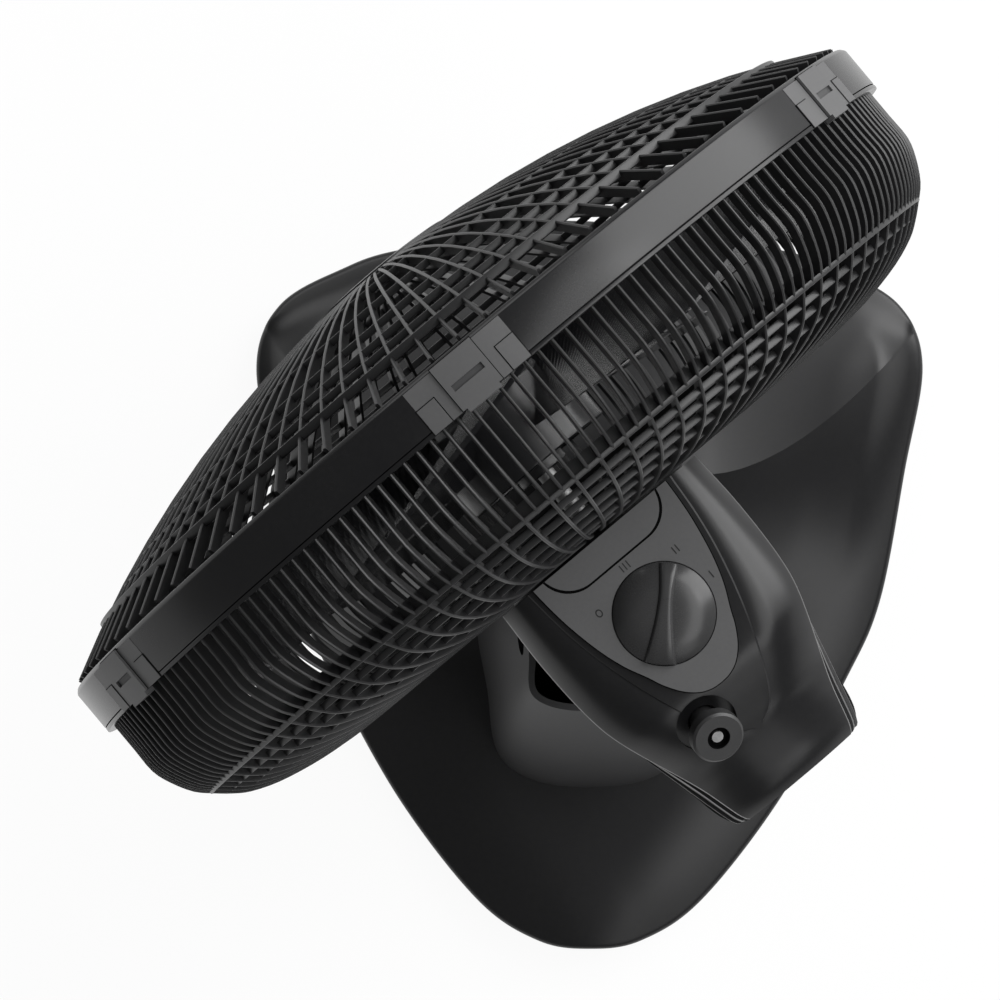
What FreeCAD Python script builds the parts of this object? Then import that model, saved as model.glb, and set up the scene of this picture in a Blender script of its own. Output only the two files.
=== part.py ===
import FreeCAD, Part
import math
import os
import Sketcher

V = FreeCAD.Vector
Placement = FreeCAD.Placement
Rotation = FreeCAD.Rotation
UP = V(0, 0, 1)

doc = FreeCAD.newDocument("table_fan")

# Driving dimensions in millimetres and degrees.
# The base is in the row frame: +Z up, front towards -Y, origin on the floor.
# The head has its own frame: X across, Y to the rear, Z up, motor shaft along Y through its origin.
# Heights and places "back" in the head are counted from the middle of the guard's band.
SIZES = {
    "base_half_width": 163.6,
    "base_half_length": 177.6,
    "base_edge_height": 28.0,
    "base_edge_round": 9.0,
    "inlet_radius": 7.0,
    "inlet_height": 14.0,
    "base_lift": 3.0,
    "base_wall": 2.6,
    "ridge_height": 74.0,
    "ridge_low": 32.0,
    "plate_thick": 2.2,
    "plate_gap": 0.4,
    "foot_radius": 9.0,
    "front_foot": 160.0,
    "column_top_height": 190.0,
    "column_top_half": 27.7,
    "column_top_back": 56.0,
    "column_foot_half": 55.0,
    "column_foot_back": 98.0,
    "column_wall": 3.0,
    "tilt_height": 168.0,
    "tilt_back": 22.0,
    "tilt_bolt_radius": 4.0,
    "tilt_barrel_radius": 9.5,
    "tilt_barrel_half": 20.0,
    "tilt_lug_half": 24.5,
    "tilt_lug_radius": 11.5,
    "axis_height": 312.0,
    "head_yaw": 40.0,
    "pivot_forward": 10.4,
    "pivot_side": 24.3,
    "pivot_back": 105.0,
    "pivot_pin_radius": 7.0,
    "pivot_pin_length": 72.0,
    "pivot_barrel_radius": 13.0,
    "running_gap": 0.05,
    "band_radius": 215.0,
    "band_wall": 2.6,
    "band_front": 11.0,
    "band_rear": 11.3,
    "rib_count": 96,
    "rib_wide": 1.9,
    "rib_deep": 4.5,
    "side_radius": 211.5,
    "back_flat": 80.5,
    "dome_top": 66.8,
    "dome_radius": 444.0,
    "hoop_wall": 2.0,
    "hoop_deep": 4.0,
    "clip_count": 6,
    "clip_wide": 20.0,
    "clip_thick": 2.2,
    "cap_radius": 36.0,
    "shaft_radius": 4.0,
    "bearing_radius": 8.0,
    "stator_radius": 36.0,
    "rotor_radius": 24.0,
    "bracket_wall": 2.5,
    "stator_front": 99.0,
    "stator_rear": 129.0,
    "bracket_front": 83.0,
    "bracket_rear": 141.0,
    "hub_radius": 36.0,
    "hub_front": 2.0,
    "hub_rear": 46.0,
    "blade_count": 6,
    "blade_tip": 183.0,
    "blade_thick": 2.4,
    "cover_half_width": 53.5,
    "cover_wall": 2.5,
    "panel_height": 66.5,
    "panel_thick": 2.0,
    "dial_back": 124.0,
    "dial_radius": 21.8,
    "worm_teeth": 20,
    "worm_pitch_radius": 6.0,
    "wheel_pitch_radius": 10.0,
    "gear_back": 154.0,
    "crank_radius": 15.4,
    "arm_reach": 24.0,
    "knob_lean": 30.0,
    "knob_back": 178.5,
    "knob_height": 70.0,
    "knob_radius": 11.3,
    "rod_radius": 2.5,
    "screw_radius": 2.0,
    "screw_head_radius": 4.0,
}

sheet = doc.addObject("Spreadsheet::Sheet", "dims")
for row, (alias, value) in enumerate(SIZES.items(), start=1):
    sheet.set("A%d" % row, alias)
    sheet.set("B%d" % row, str(value))
    sheet.setAlias("B%d" % row, alias)
doc.recompute()

nodes = []


def size(alias):
    return float(sheet.get(alias))


# Frames of the three groups that pieces are drawn in.
ground = Placement(V(0, size("front_foot"), 0), Rotation())
head = ground * Placement(V(0, size("pivot_forward"), size("axis_height")), Rotation(UP, size("head_yaw")))
head = head * Placement(V(-size("pivot_side"), -size("pivot_back"), 0), Rotation())
# Along the shaft: +Z to the front, +Y up.
axle = head * Placement(V(), Rotation(V(1, 0, 0), 90))


def keep(obj, label, frame):
    obj.Label = label
    obj.Placement = frame
    nodes.append(obj)
    return obj


def feature(label, shape, frame):
    obj = doc.addObject("Part::Feature", label)
    obj.Shape = shape
    return keep(obj, label, frame)


def turned_body(name, points):
    # A body of revolution about Z; points are (radius, height) as expressions on the sheet.
    body = doc.addObject("PartDesign::Body", name)
    sketch = body.newObject("Sketcher::SketchObject", name + "_profile")
    plane = next(o for o in body.Origin.OriginFeatures if o.Role == "XZ_Plane")
    sketch.AttachmentSupport = [(plane, "")]
    sketch.MapMode = "FlatFace"
    corners = [tuple(float(sheet.evalExpression(e)) for e in p) for p in points]
    count = len(corners)
    for i in range(count):
        start = V(*corners[i], 0)
        end = V(*corners[(i + 1) % count], 0)
        sketch.addGeometry(Part.LineSegment(start, end), False)
    for i in range(count):
        sketch.addConstraint(Sketcher.Constraint("Coincident", i, 2, (i + 1) % count, 1))
    for i in range(count):
        for kind, along in (("DistanceX", 0), ("DistanceY", 1)):
            datum = sketch.addConstraint(Sketcher.Constraint(kind, -1, 1, i, 1, corners[i][along]))
            sketch.setExpression("Constraints[%d]" % datum, points[i][along])
    turn = body.newObject("PartDesign::Revolution", name + "_turn")
    turn.Profile = sketch
    turn.ReferenceAxis = (sketch, ["V_Axis"])
    turn.Angle = 360
    return body


def turned(label, points, frame):
    return keep(turned_body(label, points), label, frame)


def ring(label, inner, outer, low, high, frame):
    return turned(label, [(inner, low), (outer, low), (outer, high), (inner, high)], frame)


def cylinder(name, radius, length, base, axis=UP):
    # A round bar from base along axis; radius and length are expressions.
    obj = doc.addObject("Part::Cylinder", name)
    obj.setExpression("Radius", radius)
    obj.setExpression("Height", length)
    obj.Placement = Placement(V(*base), Rotation(UP, V(*axis)))
    return obj


def block(name, sizes, corner):
    # A box from its lowest corner; sizes are three expressions.
    obj = doc.addObject("Part::Box", name)
    for side, expression in zip(("Length", "Width", "Height"), sizes):
        obj.setExpression(side, expression)
    obj.Placement = Placement(V(*corner), Rotation())
    return obj


def fused(name, parts):
    obj = doc.addObject("Part::MultiFuse", name)
    obj.Shapes = parts
    return obj


def cut(name, base, tools):
    obj = doc.addObject("Part::Cut", name)
    obj.Base = base
    obj.Tool = tools[0] if len(tools) == 1 else fused(name + "_tools", tools)
    return obj


def bar(radius, start, end):
    start = V(*start)
    along = V(*end) - start
    return Part.makeCylinder(radius, along.Length, start, along)


def spline(points, closed=False):
    curve = Part.BSplineCurve()
    curve.interpolate([V(*p) for p in points], PeriodicFlag=closed)
    return curve.toShape()


def screw(place, direction, length):
    # Round-headed screw; place is the underside of its head.
    place = V(*place)
    direction = V(*direction)
    shank = Part.makeCylinder(size("screw_radius"), length, place, direction)
    cap = Part.makeCylinder(size("screw_head_radius"), size("screw_radius"), place, direction * -1)
    return shank.fuse(cap)


def mirrored(points):
    # Closes a half outline, given from front to rear with x rising from 0 and back to 0.
    return points + [(-x, y) for x, y in reversed(points[1:-1])]


def inset_loop(points, depth):
    # Moves a smooth closed outline inwards; the outline runs anticlockwise.
    moved = []
    count = len(points)
    for i, (x, y) in enumerate(points):
        x0, y0 = points[i - 1]
        x1, y1 = points[(i + 1) % count]
        length = math.hypot(x1 - x0, y1 - y0)
        moved.append((x - (y1 - y0) / length * depth, y + (x1 - x0) / length * depth))
    return moved


def closed_wire(half, inset, height):
    loop = inset_loop(mirrored(half), inset)
    return Part.Wire([spline([(x, y, height) for x, y in loop], True)])


# Base.
edge_height = size("base_edge_height")
lift = size("base_lift")
half_width = size("base_half_width")
half_length = size("base_half_length")


def base_outline(height, inset=0.0):
    half = [
        (0.0, -half_length),
        (0.54 * half_width, -0.934 * half_length),
        (0.75 * half_width, -0.873 * half_length),
        (0.93 * half_width, -0.775 * half_length),
        (half_width, -0.61 * half_length),
        (0.946 * half_width, -0.32 * half_length),
        (0.871 * half_width, 0.039 * half_length),
        (0.767 * half_width, 0.26 * half_length),
        (0.568 * half_width, 0.591 * half_length),
        (0.334 * half_width, 0.868 * half_length),
        (0.155 * half_width, 0.978 * half_length),
        (0.0, half_length),
    ]
    return closed_wire(half, inset, height)


def column_outline(share, inset):
    # Section of the pedestal: share 0 at its foot, 1 at its open top.
    top_half = size("column_top_half")
    top_back = size("column_top_back")
    foot_half = size("column_foot_half")
    foot_back = size("column_foot_back")
    foot = [(0, -34), (30, -28), (foot_half, 12), (0.9 * foot_half, 0.55 * foot_back),
            (0.78 * foot_half, 0.86 * foot_back), (0.4 * foot_half, 0.98 * foot_back), (0, foot_back)]
    top = [(0, -3), (16, 0), (top_half, 17), (top_half, 0.6 * top_back),
           (0.96 * top_half, 0.86 * top_back), (0.5 * top_half, 0.98 * top_back), (0, top_back)]
    height = edge_height + lift + share * (size("column_top_height") - edge_height - lift)
    half = [(f[0] + share * (t[0] - f[0]), f[1] + share * (t[1] - f[1])) for f, t in zip(foot, top)]
    return closed_wire(half, inset, height)


def column_solid(inset):
    return Part.makeLoft([column_outline(0, inset), column_outline(1, inset)], True, True)


def ridge_section(across, sink):
    # Front ramp, crest and rear fall of the base at one station across it.
    reach = abs(across)
    join = 58.0
    past = max(0.0, (reach - join) / 97.0)
    toe = -half_length + 10 + 0.0015 * across * across
    crest = -54 - 66 * past ** 1.7
    rise = size("ridge_low") + (size("ridge_height") - size("ridge_low")) * (1 - (reach / 156) ** 1.6)
    heel = max(-20.0 - 64 * past, crest + 16)
    heel_height = edge_height - 1 + 34 * max(0.0, 1 - past * 2.2)
    corners = [
        V(across, toe, 20),
        V(across, toe, edge_height - 2 - sink),
        V(across, crest, rise + lift - sink),
        V(across, heel, heel_height - sink),
        V(across, heel, 20),
    ]
    return Part.makePolygon(corners + corners[:1])


def ridge_solid(sink):
    stations = range(-152, 153, 8)
    return Part.makeLoft([ridge_section(x, sink) for x in stations], True, True)


def base_shell():
    outline = base_outline(lift)
    pan = Part.Face(outline).extrude(V(0, 0, edge_height))
    top_edges = [e for e in pan.Edges if e.BoundBox.ZMin > lift + edge_height - 0.1]
    pan = pan.makeFillet(size("base_edge_round"), top_edges)
    wall = size("base_wall")
    inside = Part.Face(base_outline(lift - 1, wall)).extrude(V(0, 0, edge_height + 1 - wall))
    inside_edges = [e for e in inside.Edges if e.BoundBox.ZMin > lift + edge_height - wall - 0.1]
    inside = inside.makeFillet(size("base_edge_round") - wall, inside_edges)
    whole = pan.fuse(ridge_solid(0))
    shell = whole.cut(inside).cut(ridge_solid(wall))
    plate_top = lift + size("plate_thick")
    for x, y in plate_screw_places():
        boss = bar(size("screw_head_radius"), (x, y, plate_top), (x, y, 80)).common(whole)
        shell = shell.fuse(boss).cut(bar(size("screw_radius"), (x, y, 0), (x, y, lift + 14)))
    shell = shell.cut(column_solid(0))
    cable_hole = bar(12, (0, 40, 0), (0, 40, 60))
    inlet_height = size("inlet_height")
    inlet_ends = [(0, half_length + away, inlet_height) for away in (-12, 12)]
    inlet_hole = bar(size("inlet_radius"), *inlet_ends)
    shell = shell.cut(cable_hole).cut(inlet_hole)
    for x, y in column_screw_places():
        shell = shell.cut(bar(size("screw_radius") + 0.2, (x, y, 0), (x, y, 60)))
    return shell


def column_screw_places():
    return [(30, 4), (-30, 4), (26, 78), (-26, 78)]


def plate_screw_places():
    return [(0, -140), (118, -115), (-118, -115), (88, 72), (-88, 72), (0, 158)]


def foot_places():
    front = -size("front_foot")
    return [(140, -115), (-140, -115), (0, front), (100, 62), (-100, 62), (26, 156), (-26, 156)]


def neck_column():
    wall = size("column_wall")
    outer = column_solid(0)
    inner = column_solid(wall)
    floor_height = edge_height + lift + 5
    keep_floor = Part.makeBox(300, 300, floor_height, V(-150, -150, 0))
    column = outer.cut(inner.cut(keep_floor))
    column = column.cut(bar(12, (0, 40, 0), (0, 40, floor_height + 5)))
    for x, y in column_screw_places():
        column = column.cut(bar(size("screw_radius"), (x, y, 0), (x, y, floor_height + 5)))
    lug_inner = size("tilt_barrel_half") + 0.6
    place = (size("tilt_back"), size("tilt_height"))
    lugs = [bar(size("tilt_lug_radius"), (s * lug_inner, *place), (s * 40, *place)) for s in (1, -1)]
    lugs = lugs[0].fuse(lugs[1]).common(outer)
    column = column.fuse(lugs).cut(bar(size("tilt_bolt_radius"), (-60, *place), (60, *place)))
    for side in (1, -1):
        sink = bar(size("tilt_lug_radius") - 2.5, (side * size("tilt_lug_half"), *place), (side * 60, *place))
        column = column.cut(sink)
    return column


def base_plate():
    inset = size("base_wall") + size("plate_gap")
    plate = Part.Face(base_outline(lift, inset)).extrude(V(0, 0, size("plate_thick")))
    for x, y in plate_screw_places():
        plate = plate.cut(bar(size("screw_radius") + 0.2, (x, y, 0), (x, y, 10)))
    return plate


feature("base_shell", base_shell(), ground)
feature("neck_column", neck_column(), ground)
feature("base_plate", base_plate(), ground)

foot_radius = size("foot_radius")
feet = [Part.makeCone(foot_radius - 1, foot_radius, lift, V(x, y, 0)) for x, y in foot_places()]
feature("rubber_feet", Part.makeCompound(feet), ground)

plate_screws = [screw((x, y, lift), (0, 0, 1), 12) for x, y in plate_screw_places()]
feature("base_plate_screws", Part.makeCompound(plate_screws), ground)

deck_under = lift + edge_height - size("base_wall")
deck_screws = [screw((x, y, deck_under), (0, 0, 1), 9) for x, y in column_screw_places()]
feature("column_screws", Part.makeCompound(deck_screws), ground)

inlet_height = size("inlet_height")
rearward = (0, 1, 0)
inlet_bush = cylinder("inlet_bush", "dims.inlet_radius", "6", (0, half_length - 6.5, inlet_height), rearward)
inlet_bore = cylinder("inlet_bore", "dims.inlet_radius - 3.4", "20", (0, half_length - 16, inlet_height), rearward)
cord_inlet = cut("cord_inlet", inlet_bush, [inlet_bore])
keep(cord_inlet, "cord_inlet", ground)

# Tilt hinge: a cross bolt through the column's lugs, with its nut.
tilt_place = (size("tilt_back"), size("tilt_height"))
lug_half = size("tilt_lug_half")
bolt_head = cylinder("tilt_bolt_head", "dims.tilt_bolt_radius * 1.9", "4", (lug_half, *tilt_place), (1, 0, 0))
bolt_shank = cylinder("tilt_bolt_shank", "dims.tilt_bolt_radius", "2 * dims.tilt_lug_half + 8",
                      (-lug_half - 6, *tilt_place), (1, 0, 0))
keep(fused("tilt_bolt", [bolt_head, bolt_shank]), "tilt_bolt", ground)
nut_body = doc.addObject("Part::Prism", "tilt_nut_body")
nut_body.Polygon = 6
nut_body.setExpression("Circumradius", "dims.tilt_bolt_radius * 2")
nut_body.setExpression("Height", "5")
nut_body.Placement = Placement(V(-lug_half, *tilt_place), Rotation(UP, V(-1, 0, 0)))
nut_bore = cylinder("tilt_nut_bore", "dims.tilt_bolt_radius", "20", (-lug_half - 15, *tilt_place), (1, 0, 0))
keep(cut("tilt_nut", nut_body, [nut_bore]), "tilt_nut", ground)

# Neck: hinge barrel, web and the upright barrel that carries the head.
pivot_y = size("pivot_forward")
barrel_half = size("tilt_barrel_half")
barrel_low = size("tilt_height") + 26
cover_under = size("axis_height") - 62
barrel_top = cover_under + 5
hinge = cylinder("neck_hinge", "dims.tilt_barrel_radius", "2 * dims.tilt_barrel_half",
                 (-barrel_half, *tilt_place), (1, 0, 0))
web = block("neck_web", ("24", "18", "50"), (-12, 8, size("tilt_height") - 6))
upright = cylinder("neck_upright", "dims.pivot_barrel_radius", str(barrel_top - barrel_low),
                   (0, pivot_y, barrel_low))
hinge_hole = cylinder("neck_hinge_hole", "dims.tilt_bolt_radius + dims.running_gap", "80",
                      (-40, *tilt_place), (1, 0, 0))
bush_hole = cylinder("neck_bush_hole", "dims.pivot_pin_radius + 2.5", str(barrel_top - barrel_low - 4),
                     (0, pivot_y, barrel_low + 5))
neck = cut("neck_bracket", fused("neck_solid", [hinge, web, upright]), [hinge_hole, bush_hole])
keep(neck, "neck_bracket", ground)
bush = cut("pivot_bush",
           cylinder("bush_outer", "dims.pivot_pin_radius + 2.5", str(barrel_top - barrel_low - 5),
                    (0, pivot_y, barrel_low + 5)),
           [cylinder("bush_inner", "dims.pivot_pin_radius + dims.running_gap", "120",
                     (0, pivot_y, barrel_low))])
keep(bush, "pivot_bush", ground)


# The arm is fixed to the neck; it is drawn in the head's frame at the photographed swing.
arm_angle = math.radians(180 - size("head_yaw"))
pivot_place = (size("pivot_side"), size("pivot_back"))
arm_pin = (pivot_place[0] + size("arm_reach") * math.cos(arm_angle),
           pivot_place[1] + size("arm_reach") * math.sin(arm_angle))


def strap(start, end, radius, low, thick):
    # Flat bar with round ends between two places.
    start = V(*start, low)
    end = V(*end, low)
    across = (end - start).cross(UP)
    across.normalize()
    across = across * radius
    corners = [start + across, end + across, end - across, start - across]
    flat = Part.Face(Part.makePolygon(corners + corners[:1])).extrude(V(0, 0, thick))
    for middle in (start, end):
        flat = flat.fuse(Part.makeCylinder(radius, thick, middle))
    return flat.removeSplitter()


ARM_LOW = -56.9
ARM_THICK = 2.6
LINK_LOW = -53.0
LINK_THICK = 2.6


def oscillation_arm():
    arm = strap(pivot_place, arm_pin, 5.0, ARM_LOW, ARM_THICK)
    arm = arm.fuse(Part.makeCylinder(size("pivot_barrel_radius"), ARM_THICK, V(*pivot_place, ARM_LOW)))
    hole = Part.makeCylinder(size("pivot_pin_radius") + 0.4, 20, V(*pivot_place, ARM_LOW - 5))
    stub = Part.makeCylinder(2.5, LINK_LOW - ARM_LOW - 0.5, V(*arm_pin, ARM_LOW))
    return arm.cut(hole).fuse(stub)


feature("oscillation_arm", oscillation_arm(), head)


# Motor covers: sections across the shaft at places along it, as (back, half width, top, bottom).
COVER_SECTIONS = [
    (81.6, 52.5, 62.5, -61.0),
    (110.0, 53.5, 64.5, -62.0),
    (140.0, 52.0, 63.0, -62.0),
    (165.0, 47.0, 56.5, -61.5),
    (190.0, 41.0, 46.0, -54.0),
    (212.0, 35.5, 35.0, -34.0),
    (216.5, 30.0, 29.0, -24.0),
]
COVER_POWER = 3.2


def cover_section(back, half, top, bottom, inset):
    points = []
    count = 36
    for i in range(count):
        turn = 2 * math.pi * i / count
        c = math.cos(turn)
        s = math.sin(turn)
        x = math.copysign(abs(c) ** (2 / COVER_POWER), c) * (half - inset)
        z = abs(s) ** (2 / COVER_POWER) * (top - inset if s > 0 else bottom + inset)
        points.append((x, back, z))
    return Part.Wire([spline(points, True)])


def cover_solid(inset):
    first = -1.0 if inset else 0.0
    last = -inset if inset else 0.0
    sections = []
    for i, (back, half, top, bottom) in enumerate(COVER_SECTIONS):
        shift = first if i == 0 else (last if i == len(COVER_SECTIONS) - 1 else 0.0)
        sections.append(cover_section(back + shift, half, top, bottom, inset))
    return Part.makeLoft(sections, True)


panel_low = size("panel_height") - size("panel_thick")
lean = math.radians(size("knob_lean"))
knob_axis = V(0, math.sin(lean), math.cos(lean))
knob_top = V(16, size("knob_back"), size("knob_height"))
rod_tip = knob_top - knob_axis * 58


def spine_solid(inset):
    # Raised back of the top cover: carries the panel and falls away behind it.
    half = [(39, 81.6), (37.5, 100), (34.5, 118), (28.5, 140), (21, 161), (12, 181)]
    right = [(x - inset, y, 30) for x, y in half]
    left = [(-x, y, z) for x, y, z in reversed(right)]
    outline = spline(right + [(0, 187 - inset, 30)] + left)
    front = Part.makeLine(V(*left[-1]), V(*right[0]))
    spine = Part.Face(Part.Wire([outline, front])).extrude(V(0, 0, 60))
    top = panel_low - 0.1 - inset
    roof = [V(-60, 70, 20), V(-60, 70, top), V(-60, 158, top), V(-60, 192, top - 19), V(-60, 192, 20)]
    return spine.common(Part.Face(Part.makePolygon(roof + roof[:1])).extrude(V(120, 0, 0)))


def panel_outline(inset, height):
    # Teardrop plate with a straight front, round tail and a notch for the front collar.
    half = [(36, 81.8), (34.5, 100), (31, 118), (22.5, 140), (13, 154)]
    tail = 161.0
    right = [(x - inset, y + (inset if y < 90 else 0), height) for x, y in half]
    left = [(-x, y, z) for x, y, z in reversed(right)]
    side = spline(right + [(0, tail - inset, height)] + left)
    front = Part.makeLine(V(*left[-1]), V(*right[0]))
    return Part.Wire([side, front])


def collar_outline(grow, height):
    # Rounded tab at the panel's front edge.
    half = 30.0 + grow
    tail = 93.5 + grow
    bend = 11.0
    front = 81.8
    slant = bend * (1 - math.sqrt(0.5))
    points = [V(half, front, height), V(half, tail - bend, height), V(half - slant, tail - slant, height),
              V(half - bend, tail, height)]
    other = [V(-p.x, p.y, height) for p in reversed(points)]
    edges = [Part.makeLine(points[0], points[1]), Part.Arc(*points[1:4]).toShape(),
             Part.makeLine(points[3], other[0]), Part.Arc(*other[0:3]).toShape(),
             Part.makeLine(other[2], other[3]), Part.makeLine(other[3], points[0])]
    return Part.Wire(edges)


def half_space(top):
    gap = 0.1
    return Part.makeBox(300, 400, 200, V(-150, -50, gap if top else -200 - gap))


def cover_screw_places():
    return [(46, 100), (-46, 100), (32, 184), (-32, 184)]


def cover_shell(top):
    wall = size("cover_wall")
    outer = cover_solid(0)
    inner = cover_solid(wall)
    if top:
        recess_floor = knob_top - knob_axis * 18
        outer = outer.fuse(spine_solid(0)).cut(Part.makeCylinder(13.5, 80, recess_floor, knob_axis))
        around_recess = Part.makeCylinder(13.5 + wall, 80, recess_floor - knob_axis * wall, knob_axis)
        inner = inner.fuse(spine_solid(wall)).cut(around_recess)
    shell = outer.cut(inner).common(half_space(top))
    room = cover_solid(wall - 0.5).common(half_space(top))
    for x, y in cover_screw_places():
        boss = Part.makeCylinder(size("screw_head_radius") + 2, 120, V(x, y, 0 if top else -120))
        shell = shell.fuse(boss.common(room))
    return shell


def motor_cover_top():
    shell = cover_shell(True)
    seat = Part.Face(panel_outline(-0.15, panel_low - 0.2)).extrude(V(0, 0, 30))
    shell = shell.cut(seat)
    shell = shell.cut(Part.makeCylinder(12, 80, V(0, size("dial_back"), 40)))
    shell = shell.cut(Part.makeCylinder(7.2, 60, rod_tip, knob_axis))
    for x, y in cover_screw_places():
        shell = shell.cut(Part.makeCylinder(size("screw_radius"), 20, V(x, y, 0)))
    return shell


def motor_cover_bottom():
    shell = cover_shell(False)
    shell = shell.cut(Part.makeCylinder(16, 30, V(*pivot_place, -75)))
    for x, y in cover_screw_places():
        shell = shell.cut(Part.makeCylinder(size("screw_radius") + 0.2, 90, V(x, y, -90)))
        shell = shell.cut(Part.makeCylinder(size("screw_head_radius") + 0.4, 90 - 14, V(x, y, -90)))
    return shell


feature("motor_cover_top", motor_cover_top(), head)
feature("motor_cover_bottom", motor_cover_bottom(), head)


def control_panel():
    panel = Part.Face(panel_outline(0, panel_low)).extrude(V(0, 0, size("panel_thick")))
    panel = panel.cut(Part.Face(collar_outline(0.4, 0)).extrude(V(0, 0, 100)))
    return panel.cut(Part.makeCylinder(size("dial_radius") + 0.5, 100, V(0, size("dial_back"), 0)))


feature("control_panel", control_panel(), head)
feature("front_collar", Part.Face(collar_outline(0, panel_low)).extrude(V(0, 0, size("panel_thick"))), head)

cover_screws = [screw((x, y, -14), (0, 0, 1), 26) for x, y in cover_screw_places()]
feature("cover_screws", Part.makeCompound(cover_screws), head)

# Speed dial with its stem and switch.
dial_place = head * Placement(V(0, size("dial_back"), 0), Rotation())


def speed_dial():
    radius = size("dial_radius")
    rim = size("panel_height") + 2.5
    under = panel_low + 0.3
    profile = [V(0, 0, 46), V(4, 0, 46), V(4, 0, under), V(radius, 0, under), V(radius, 0, rim - 1),
               V(radius - 1, 0, rim), V(radius - 2.5, 0, rim), V(0, 0, rim - 3)]
    cap = Part.Face(Part.makePolygon(profile + profile[:1])).revolve(V(), UP, 360)
    bend = 2.0
    wide = 3.6
    reach = radius - 1
    grip = [V(-wide, -reach, 0), V(-bend, 0, 0), V(-wide, reach, 0),
            V(wide, reach, 0), V(bend, 0, 0), V(wide, -reach, 0)]
    edges = [Part.Arc(*grip[0:3]).toShape(), Part.makeLine(grip[2], grip[3]), Part.Arc(*grip[3:6]).toShape(),
             Part.makeLine(grip[5], grip[0])]
    grip = Part.Face(Part.Wire(edges)).extrude(V(0, 0, 9))
    grip.translate(V(0, 0, rim - 4))
    grip.rotate(V(), UP, -45)
    round_rim = Part.makeCylinder(radius - 0.8, 20, V(0, 0, rim - 8))
    return cap.fuse(grip.common(round_rim)).removeSplitter()


feature("speed_dial", speed_dial(), dial_place)
switch_case = block("switch_case", ("30", "30", "14"), (-15, size("dial_back") - 15, 40.5))
switch_neck = cylinder("switch_neck", "8", "7", (0, size("dial_back"), 54))
switch_bore = cylinder("switch_bore", "4.3", "60", (0, size("dial_back"), 43))
switch_body = fused("switch_body", [switch_case, switch_neck])
keep(cut("speed_switch", switch_body, [switch_bore]), "speed_switch", head)
capacitor = block("capacitor", ("18", "32", "26"), (-36, 144, -26))
keep(capacitor, "capacitor", head * capacitor.Placement)

# Clutch knob and rod, leaning to the rear.
knob_frame = head * Placement(knob_top, Rotation(UP, knob_axis))
turned("clutch_knob", [
    ("dims.rod_radius", "-22"),
    ("6", "-22"),
    ("6", "-8"),
    ("dims.knob_radius", "-6"),
    ("dims.knob_radius", "-1"),
    ("dims.knob_radius - 1", "0"),
    ("5", "0"),
    ("5", "-3"),
    ("dims.rod_radius", "-3"),
], knob_frame)
rod_line = [("0", "-58"), ("dims.rod_radius", "-58"), ("dims.rod_radius", "-1.5"), ("0", "-1.5")]
turned("clutch_rod", rod_line, knob_frame)

# Motor.
CARRIER_SCREWS = (92.0, 133.0)


def motor_screw_places():
    turns = [math.radians(a) for a in (45, 135, 225, 315)]
    return [(31 * math.cos(a), 31 * math.sin(a)) for a in turns]


ring("stator_core", "dims.rotor_radius + 0.4", "dims.stator_radius",
     "-dims.stator_rear", "-dims.stator_front", axle)
windings = []
coil_front = size("stator_front")
coil_rear = size("stator_rear")
for low, high in ((coil_front - 9, coil_front), (coil_rear, coil_rear + 7.5)):
    coil = Part.makeCylinder(size("stator_radius") - 2, high - low, V(0, 0, -high))
    windings.append(coil.cut(Part.makeCylinder(size("rotor_radius") + 1.5, 200, V(0, 0, -200))))
feature("stator_winding", Part.makeCompound(windings), axle)

front_cup = turned_body("front_cup", [
    ("dims.bearing_radius", "-dims.bracket_front - 12"),
    ("12", "-dims.bracket_front - 12"),
    ("12", "-dims.bracket_front - 4"),
    ("dims.stator_radius", "-dims.bracket_front - 4"),
    ("dims.stator_radius", "-dims.stator_front - 4"),
    ("dims.stator_radius + dims.bracket_wall", "-dims.stator_front - 4"),
    ("dims.stator_radius + dims.bracket_wall", "-dims.bracket_front"),
    ("19.8", "-dims.bracket_front"),
    ("19.8", "-dims.bracket_front + 9"),
    ("dims.bearing_radius", "-dims.bracket_front + 9"),
])
front_hole = cylinder("front_cup_hole", "dims.screw_radius", "40", (0, -60, -CARRIER_SCREWS[0]), (0, 1, 0))
keep(cut("motor_front_bracket", front_cup, [front_hole]), "motor_front_bracket", axle)
rear_cup = turned_body("rear_cup", [
    ("dims.bearing_radius", "-dims.bracket_rear"),
    ("dims.stator_radius + dims.bracket_wall", "-dims.bracket_rear"),
    ("dims.stator_radius + dims.bracket_wall", "-dims.stator_rear + 4"),
    ("dims.stator_radius", "-dims.stator_rear + 4"),
    ("dims.stator_radius", "-dims.bracket_rear + 4"),
    ("12", "-dims.bracket_rear + 4"),
    ("12", "-dims.bracket_rear + 10"),
    ("dims.bearing_radius", "-dims.bracket_rear + 10"),
])
rear_holes = [cylinder("rear_cup_hole", "dims.screw_radius", "40", (0, -60, -CARRIER_SCREWS[1]), (0, 1, 0))]
for x, y in motor_screw_places():
    hole_start = (x, y, -size("bracket_rear") - 2)
    rear_holes.append(cylinder("motor_screw_hole", "dims.screw_radius", "10", hole_start))
keep(cut("motor_rear_bracket", rear_cup, rear_holes), "motor_rear_bracket", axle)
bearing_bore = "dims.shaft_radius + dims.running_gap"
ring("front_bearing", bearing_bore, "dims.bearing_radius",
     "-dims.bracket_front - 12", "-dims.bracket_front + 7", axle)
ring("rear_bearing", bearing_bore, "dims.bearing_radius",
     "-dims.bracket_rear", "-dims.bracket_rear + 10", axle)
ring("rotor_core", "dims.shaft_radius", "dims.rotor_radius", "-dims.stator_rear", "-dims.stator_front", axle)
shaft_front = size("hub_front") - 11
shaft_rear = 166.0
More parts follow.
